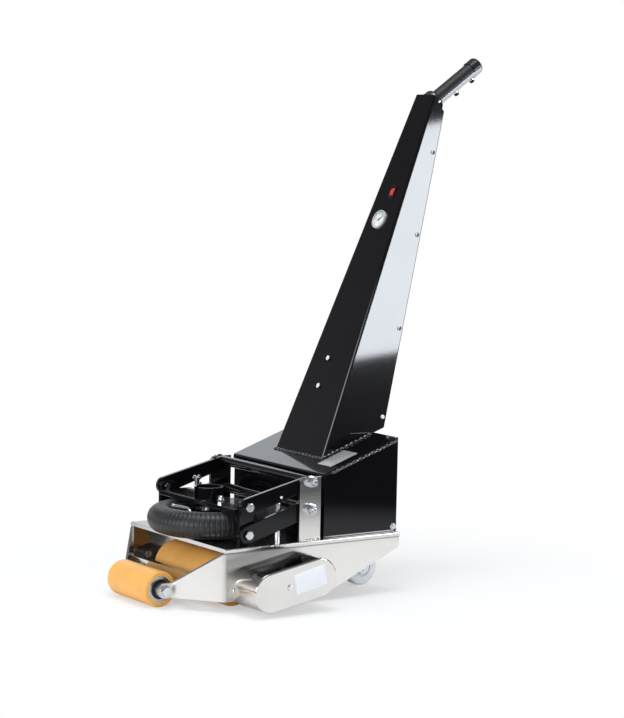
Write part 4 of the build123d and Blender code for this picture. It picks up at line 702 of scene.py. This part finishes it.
class DOLLY_OT_tyre(bpy.types.Operator):
    """Make the flat wheel's tyre: a circle carried round the axle, raised in two rings on each side and on
    the tread, with grooves across the tread by a power of a cosine, and closed by a flat seat on the rim"""

    bl_idname = "dolly.tyre"
    bl_label = "Tyre"

    def execute(self, context):
        sizes = context.scene.dolly_details
        ring_radius = 97.5
        section_radius = 27.1
        swell = 0.35
        seat_radius = 63.3
        seat_half = 17.9
        seat_angle = np.pi - np.arcsin(18.0 / 27.5)
        tread_edge = 1.66
        side_rings = ((1.86, 0.05), (2.10, 0.04))
        steps = sizes.rib_count * 10
        turn = np.linspace(-seat_angle, seat_angle, 69)
        lean = np.abs(turn)
        side_ring = sum(np.exp(-(((lean - where) / width) ** 2)) for where, width in side_rings)
        on_tread = 1.0 / (1.0 + np.exp((lean - tread_edge) / 0.06))
        angles = np.linspace(0.0, 2 * np.pi, steps, endpoint=False)
        groove = ((1.0 + np.cos(sizes.rib_count * angles)) / 2) ** 12
        section = section_radius + swell * side_ring[:, None] + swell * on_tread[:, None]
        section = section - 1000.0 * sizes.rib_depth * on_tread[:, None] * groove[None, :]
        seat = np.full((2, steps), seat_radius)
        reach = np.vstack([ring_radius + section * np.cos(turn)[:, None], seat])
        height = np.vstack([section * np.sin(turn)[:, None], seat * 0.0 + [[seat_half], [-seat_half]]])
        outward = np.cos(angles)[:, None] * FORWARD + np.sin(angles)[:, None] * ACROSS
        centre = box_middle(*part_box("wheel_tyre"))
        points = centre + reach[..., None] * outward + height[..., None] * UP
        tyre = grid_mesh("flat_wheel_tyre", points, closed_rows=True, closed_columns=True, crease=80.0)
        dress(tyre, "flat_wheel", "tyre_rubber")
        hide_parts("wheel_tyre")
        return {"FINISHED"}


class DOLLY_OT_seals(bpy.types.Operator):
    """Press the black seals into the front roller's bearings: a flat ring with a raised lip, swept round"""

    bl_idname = "dolly.seals"
    bl_label = "Bearing seals"

    def execute(self, context):
        low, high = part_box("front_roller_bearings")
        half = (high.y - low.y) / 2 * 1000.0
        radii = np.array([13.8, 13.8, 14.6, 15.4, 18.2, 18.8, 19.4, 19.7, 19.7])
        heights = np.array([-0.75, -0.2, -0.05, -0.35, -0.35, -0.1, -0.1, -0.3, -0.75])
        for name, side in SIDES:
            centre = box_middle(low, high) + ACROSS * side * half
            points = turned_piece(radii, heights, centre, ACROSS * side, FORWARD, 96)
            seal = grid_mesh(f"roller_seal_{name}", points, closed_rows=True, closed_columns=True)
            dress(seal, "front_roller", "seal_rubber")
        return {"FINISHED"}


def lay_weld(bead, finish="weld_paint"):
    """Fix a weld bead to the chassis, painted or of another finish."""
    dress(bead, "chassis", finish)


class DOLLY_OT_welds(bpy.types.Operator):
    """Lay the welds at the column's foot, along the lid, at the brackets and beside the handle's socket"""

    bl_idname = "dolly.welds"
    bl_label = "Welds"

    def execute(self, context):
        sizes = context.scene.dolly_details
        radius = sizes.weld_radius * 1000.0
        pitch = sizes.weld_pitch * 1000.0
        foot_half = 86.8
        foot_run = 176.0
        column_taper = 0.0717
        lid_half = 169.2
        lid_drop = 4.6
        lid_ends = (14.0, 190.0)
        bracket_half = 171.6
        bracket_foot = 126.4
        bracket_ends = (-183.0, -234.0)
        collar_radius = 26.5
        collar_bow = 0.87
        collar_bead = 3.4
        foot_rear = LID_FRONT + LID_BACK * np.hypot(LID_RISE, foot_run)
        rear_half = foot_half - column_taper * (foot_rear[2] - COLUMN_FOOT[2])
        foot = [
            foot_rear + ACROSS * rear_half, COLUMN_FOOT + ACROSS * foot_half,
            COLUMN_FOOT - ACROSS * foot_half, foot_rear - ACROSS * rear_half,
        ]
        lay_weld(weld_bead("column_foot_weld", foot, LID_UP, radius, pitch, sway=0.45))
        for name, side in SIDES:
            edge = LID_FRONT + ACROSS * side * lid_half - LID_UP * lid_drop
            seam = [edge + LID_BACK * end for end in lid_ends]
            lay_weld(weld_bead(f"lid_weld_{name}", seam, LID_UP, radius * 0.72, pitch * 1.2, sway=0.5))
            feet = [(end, side * bracket_half, bracket_foot) for end in bracket_ends]
            bead = weld_bead(f"bracket_weld_{name}", feet, UP, radius * 0.7, pitch * 0.7, sway=0.4)
            lay_weld(bead, "bright_steel")
            bow = np.linspace(-collar_bow, collar_bow, 25)[:, None]
            outward = np.cos(bow) * side * ACROSS + np.sin(bow) * HANDLE_DOWN
            collar = HANDLE_FOOT + collar_radius * outward + HANDLE_ALONG
            bead = weld_bead(f"handle_weld_{name}", collar, HANDLE_ALONG, collar_bead, pitch * 0.7, sway=0.4)
            lay_weld(bead)
        return {"FINISHED"}


class DOLLY_OT_handle_channel(bpy.types.Operator):
    """Wrap the bright channel round the handle's underside: a thin arc carried along the tube and the cap"""

    bl_idname = "dolly.handle_channel"
    bl_label = "Handle channel"

    def execute(self, context):
        outer_radius = 16.6
        inner_radius = 15.8
        cap_step = 2.25
        bow = np.radians(np.linspace(-10.0, -170.0, 41))
        turns = np.concatenate([bow, bow[::-1]])
        radii = np.repeat([outer_radius, inner_radius], len(bow))
        outward = np.cos(turns)[:, None] * ACROSS - np.sin(turns)[:, None] * HANDLE_DOWN
        along = np.array([17.0, 17.0, 50.0, 90.0, 129.0, 129.7, 148.5, 148.5])
        on_cap = np.array([0.0, 0.0, 0.0, 0.0, 0.0, 1.0, 1.0, 1.0])
        reach = radii + cap_step * on_cap[:, None]
        points = HANDLE_FOOT + along[:, None, None] * HANDLE_ALONG + reach[..., None] * outward
        points[[0, -1]] = (points[[0, -1]] + points[[0, -1], ::-1]) / 2
        channel = grid_mesh("handle_channel", points, closed_columns=True, crease=50.0)
        dress(channel, "chassis", "silver_strip")
        return {"FINISHED"}


class DOLLY_OT_valve(bpy.types.Operator):
    """Add the flat wheel's bent valve: a round section carried along a line that bends down at its far end,
    thicker at its sleeve and its cap, and rounded off at both ends"""

    bl_idname = "dolly.valve"
    bl_label = "Tyre valve"

    def execute(self, context):
        cap_end = 0.13
        sleeve_end = 0.62
        bend_start = 0.72
        cap_radius = 4.3
        sleeve_radius = 3.5
        stem_radius = 3.1
        share = np.linspace(0.0, 1.0, 60)
        bend = np.clip((share - bend_start) / (1.0 - bend_start), 0.0, 1.0) ** 2
        forward = 64.0 - 14.0 * share + 6.0 * bend
        across = 62.0 * share - 40.0
        height = 24.0 - 12.0 * bend
        line = np.stack([forward, across, height], -1) + box_middle(*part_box("wheel_rim"))
        radius = np.where(share < sleeve_end, sleeve_radius, stem_radius)
        radius = np.where(share < cap_end, cap_radius, radius)
        radius = radius * np.sqrt(np.clip(np.minimum(share, 1.0 - share) / 0.03, 0.0, 1.0))
        points = tube_points(line, radius, *tube_frame(line, UP), 20)
        valve = grid_mesh("tyre_valve", points, closed_columns=True)
        dress(valve, "flat_wheel", "zinc_steel")
        return {"FINISHED"}


class DOLLY_OT_plates(bpy.types.Operator):
    """Fix the blank plates to the chain case and to the lid"""

    bl_idname = "dolly.plates"
    bl_label = "Blank plates"

    def execute(self, context):
        corner = context.scene.dolly_details.plate_corner * 1000.0
        case_tilt = np.radians(12.6)
        case_along = np.array([np.cos(case_tilt), 0.0, -np.sin(case_tilt)])
        case_across = np.array([-np.sin(case_tilt), 0.0, -np.cos(case_tilt)])
        case_middle = (-141.8, 274.0, 69.4)
        lid_middle = LID_FRONT + LID_BACK * 66.0 + ACROSS * 123.4
        label = flat_plate(
            "case_plate", case_middle, case_along, case_across, length=74.0, width=41.5, thickness=0.3,
            corner=corner,
        )
        dress(label, "chassis", "blank_label")
        plate = flat_plate(
            "lid_plate", lid_middle, -LID_BACK, ACROSS, length=71.0, width=48.5, thickness=0.6, corner=corner
        )
        dress(plate, "chassis", "bare_plate")
        return {"FINISHED"}


def zinc_pair(name, radii, heights, centre, body, steps, ripple=None):
    """Swept bolt or screw at the centre, its head outwards, and its mirror image on the right side."""
    for side_name, side in SIDES:
        mirrored = np.array(centre) * (1.0, side, 1.0)
        points = turned_piece(radii, heights, mirrored, ACROSS * side, FORWARD, steps, ripple)
        piece = grid_mesh(f"{name}_{side_name}", points, closed_columns=True)
        dress(piece, body, "zinc_steel")


class DOLLY_OT_small_bolts(bpy.types.Operator):
    """Add the bolts at the box's rear corners, whose swept heads have six flats, and the domed screws on the
    upper arms"""

    bl_idname = "dolly.small_bolts"
    bl_label = "Small bolts"

    def execute(self, context):
        steps = 48
        bolt_heights = np.array([0.0, 0.0, 1.4, 1.4, 1.4, 5.0, 5.8, 5.8])
        bolt_radii = np.array([0.0, 7.0, 7.0, 6.2, 5.0, 5.0, 4.5, 0.0])
        facets = np.array([0.0, 0.0, 0.0, 0.0, 1.0, 1.0, 0.2, 0.0])
        ripple = (bolt_radii * facets)[:, None] * (hexagon_reach(steps) - 1.0)[None, :]
        bolt_place = (-419.0, 168.0, 136.0)
        zinc_pair("box_bolt", bolt_radii, bolt_heights, bolt_place, "chassis", steps, ripple)
        screw_radius = 3.4
        screw_rise = 2.2
        bow = np.linspace(0.0, np.pi / 2, 8)
        screw_radii = np.concatenate([[0.0], screw_radius * np.cos(bow)])
        screw_heights = np.concatenate([[0.0], screw_rise * np.sin(bow)])
        screw_place = (-143.0, 164.0, 216.0)
        zinc_pair("arm_screw", screw_radii, screw_heights, screw_place, "upper_linkage", 24)
        return {"FINISHED"}


class DOLLY_OT_gauge_scale(bpy.types.Operator):
    """Mark the gauge's dial with plain ticks, a long one at every fifth"""

    bl_idname = "dolly.gauge_scale"
    bl_label = "Gauge scale"

    def execute(self, context):
        count = 26
        first_angle = 225.0
        sweep = 270.0
        outer_end = 15.2
        foot_lift = 0.36
        face_lift = 0.48
        ticks = np.arange(count)
        is_long = ticks % 5 == 0
        angle = np.radians(first_angle - ticks * sweep / (count - 1.0))
        inner = np.where(is_long, 11.6, 13.4)
        outer = np.full(count, outer_end)
        half_width = np.where(is_long, 0.42, 0.24)
        outward = np.cos(angle)[:, None] * ACROSS + np.sin(angle)[:, None] * COLUMN_ALONG
        sideways = -np.sin(angle)[:, None] * ACROSS + np.cos(angle)[:, None] * COLUMN_ALONG
        ends = np.stack([inner, inner, outer, outer], 1)
        sides = np.stack([-half_width, half_width, half_width, -half_width], 1)
        outline = ends[..., None] * outward[:, None, :] + sides[..., None] * sideways[:, None, :]
        outline = box_middle(*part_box("gauge_dial")) + outline
        points = np.concatenate([outline + COLUMN_OUT * foot_lift, outline + COLUMN_OUT * face_lift], 1)
        box_faces = np.array([
            [3, 2, 1, 0], [4, 5, 6, 7], [0, 1, 5, 4], [1, 2, 6, 5], [2, 3, 7, 6], [3, 0, 4, 7],
        ])
        faces = (ticks[:, None, None] * 8 + box_faces[None]).reshape(-1, 4)
        scale = mesh_piece("gauge_scale", points.reshape(-1, 3), faces)
        dress(scale, "chassis", "needle_black")
        return {"FINISHED"}


def floor_finish():
    """Pale floor: white paper that ends in a dim studio, over which the camera sees plain white, less near
    the dolly so that its soft shadow shows."""
    finish = bpy.data.materials.new("studio_floor")
    finish.use_nodes = True
    tree = finish.node_tree
    tree.nodes.clear()
    white = add_node(tree, "ShaderNodeEmission", Strength=1.0)
    distance = add_node(tree, "ShaderNodeVectorMath", operation="LENGTH", Vector=stretched_place(tree))
    off_paper = spread(tree, distance.outputs["Value"], 0.0, 1.0, start=0.98, end=1.28)
    ground = blend_colour(tree, off_paper, (0.88, 0.88, 0.885), (0.04, 0.04, 0.042))
    dull = add_node(tree, "ShaderNodeBsdfDiffuse", Color=ground)
    far = spread(tree, distance.outputs["Value"], 0.45, 1.0, start=0.35, end=0.9)
    rays = add_node(tree, "ShaderNodeLightPath")
    share = combine(tree, "MULTIPLY", far, rays.outputs["Is Camera Ray"])
    mixed = mix_shaders(tree, share, dull.outputs[0], white.outputs[0])
    add_node(tree, "ShaderNodeOutputMaterial", Surface=mixed)
    return finish


def studio_world(world):
    """World: plain white to the camera; to gloss and glass, white at the floor's level that falls to a dim
    ceiling, with a dark corner round the side softbox; and an even soft light for all else."""
    world.use_nodes = True
    tree = world.node_tree
    tree.nodes.clear()
    rays = add_node(tree, "ShaderNodeLightPath")
    way = add_node(tree, "ShaderNodeTexCoord").outputs["Generated"]
    split = add_node(tree, "ShaderNodeSeparateXYZ", Vector=way)
    walls = ramp(tree, split.outputs["Z"], [
        (0.0, (1.0, 1.0, 1.0)), (0.10, (0.95, 0.95, 0.97)), (0.28, (0.34, 0.34, 0.36)),
        (0.42, (0.16, 0.16, 0.17)), (1.0, (0.30, 0.30, 0.31)),
    ])
    corner = spread(tree, dot_product(tree, way, SIDE_WAY), 0.0, 0.92, start=0.84, end=0.96)
    walls = blend_colour(tree, corner, walls, (0.06, 0.06, 0.065))
    shown = add_node(tree, "ShaderNodeBackground", Color=(1.0, 1.0, 1.0, 1.0), Strength=1.0)
    mirrored = add_node(tree, "ShaderNodeBackground", Color=walls, Strength=1.0)
    even = add_node(tree, "ShaderNodeBackground", Color=(0.97, 0.98, 1.0, 1.0), Strength=0.7)
    gloss = combine(tree, "MAXIMUM", rays.outputs["Is Glossy Ray"], rays.outputs["Is Transmission Ray"])
    unseen = mix_shaders(tree, gloss, even.outputs[0], mirrored.outputs[0])
    mixed = mix_shaders(tree, rays.outputs["Is Camera Ray"], unseen, shown.outputs[0])
    add_node(tree, "ShaderNodeOutputWorld", Surface=mixed)


def facing_matrix(centre, back, lean):
    """Place of a lamp or camera at the centre that looks against the back way, turned about it by a lean."""
    right = unit(np.cross(UP, back))
    up = np.cross(back, right)
    turned = np.eye(4)
    turned[:3, 0] = np.cos(lean) * right + np.sin(lean) * up
    turned[:3, 1] = np.cos(lean) * up - np.sin(lean) * right
    turned[:3, 2] = back
    turned[:3, 3] = centre
    return Matrix(turned.tolist())


def softbox(name, centre, target, width, height, power, lean=0.0):
    """Area lamp with its middle at the centre, facing the target, its width level or turned by a lean."""
    lamp = bpy.data.lights.new(name, "AREA")
    lamp.shape = "RECTANGLE"
    lamp.size = width
    lamp.size_y = height
    lamp.energy = power
    lamp.color = (0.90, 0.94, 1.0)
    holder = bpy.data.objects.new(name, lamp)
    holder.matrix_world = facing_matrix(centre, unit(centre - target), lean)
    bpy.context.scene.collection.objects.link(holder)


class DOLLY_OT_stage(bpy.types.Operator):
    """Set up the pale floor, the soft lights, the world and the camera"""

    bl_idname = "dolly.stage"
    bl_label = "Studio"

    def execute(self, context):
        stage = context.scene.dolly_stage
        floor_half = 14.0
        rows = 9
        reach = np.linspace(-floor_half, floor_half, rows)
        floor_points = np.stack([*np.meshgrid(reach, reach, indexing="ij"), np.zeros((rows, rows))], -1)
        floor = grid_mesh("studio_floor", (floor_points - DECK_ORIGIN) * 1000.0)
        floor.data.materials.append(floor_finish())
        world = context.scene.world or bpy.data.worlds.new("studio")
        context.scene.world = world
        studio_world(world)
        column = place((-480.0, 58.0, 940.0))
        middle = place((-320.0, 38.0, 300.0))
        side = column + SIDE_WAY * 5.0 + UP * 0.13
        softbox("side_softbox", side, column, 0.8, 0.95, stage.side_power, lean=0.1)
        softbox("back_softbox", middle + (-1.35, -3.2, 1.65), middle, 2.4, 1.3, stage.back_power)
        softbox("top_softbox", middle + (0.4, 0.3, 2.6), middle, 1.7, 1.2, stage.top_power)
        softbox("front_softbox", middle + (2.6, 0.7, 0.5), middle, 1.5, 0.8, stage.front_power)
        level = np.sin(stage.turn) * FORWARD + np.cos(stage.turn) * ACROSS
        back = np.cos(stage.pitch) * level + np.sin(stage.pitch) * UP
        camera = bpy.data.objects.new("photo_camera", bpy.data.cameras.new("photo_camera"))
        camera.data.sensor_fit = "HORIZONTAL"
        camera.data.sensor_width = 36.0
        camera.data.lens = stage.lens
        camera.matrix_world = facing_matrix(DECK_ORIGIN + np.array(stage.eye), back, stage.roll)
        context.scene.collection.objects.link(camera)
        context.scene.camera = camera
        context.scene.view_settings.view_transform = "Standard"
        return {"FINISHED"}


OPERATORS = (
    DOLLY_OT_finishes, DOLLY_OT_tyre, DOLLY_OT_valve, DOLLY_OT_seals, DOLLY_OT_welds,
    DOLLY_OT_handle_channel, DOLLY_OT_plates, DOLLY_OT_small_bolts, DOLLY_OT_gauge_scale, DOLLY_OT_stage,
)


class DOLLY_PT_sidebar(bpy.types.Panel):
    """Sidebar page with the dolly's settings and steps"""

    bl_idname = "DOLLY_PT_sidebar"
    bl_label = "Roller Dolly"
    bl_space_type = "VIEW_3D"
    bl_region_type = "UI"
    bl_category = "Dolly"

    def draw(self, context):
        scene = context.scene
        for settings in (scene.dolly_finishes, scene.dolly_details, scene.dolly_stage):
            block = self.layout.box()
            for key in settings.bl_rna.properties.keys():
                if key not in ("rna_type", "name"):
                    block.prop(settings, key)
        for operator in OPERATORS:
            self.layout.operator(operator.bl_idname)


SETTINGS = {
    "dolly_finishes": DollyFinishSettings,
    "dolly_details": DollyDetailSettings,
    "dolly_stage": DollyStageSettings,
}


def register():
    """Register the settings, the operators and the panel."""
    for name, group in SETTINGS.items():
        bpy.utils.register_class(group)
        setattr(bpy.types.Scene, name, PointerProperty(type=group))
    for operator in OPERATORS:
        bpy.utils.register_class(operator)
    bpy.utils.register_class(DOLLY_PT_sidebar)


def unregister():
    """Take the panel, the operators and the settings away again."""
    bpy.utils.unregister_class(DOLLY_PT_sidebar)
    for operator in reversed(OPERATORS):
        bpy.utils.unregister_class(operator)
    for name, group in reversed(SETTINGS.items()):
        delattr(bpy.types.Scene, name)
        bpy.utils.unregister_class(group)


def main():
    """Build every piece and the studio."""
    register()
    bpy.ops.dolly.finishes()
    bpy.ops.dolly.tyre()
    bpy.ops.dolly.valve()
    bpy.ops.dolly.seals()
    bpy.ops.dolly.welds()
    bpy.ops.dolly.handle_channel()
    bpy.ops.dolly.plates()
    bpy.ops.dolly.small_bolts()
    bpy.ops.dolly.gauge_scale()
    bpy.ops.dolly.stage()


if __name__ == "__main__":
    main()
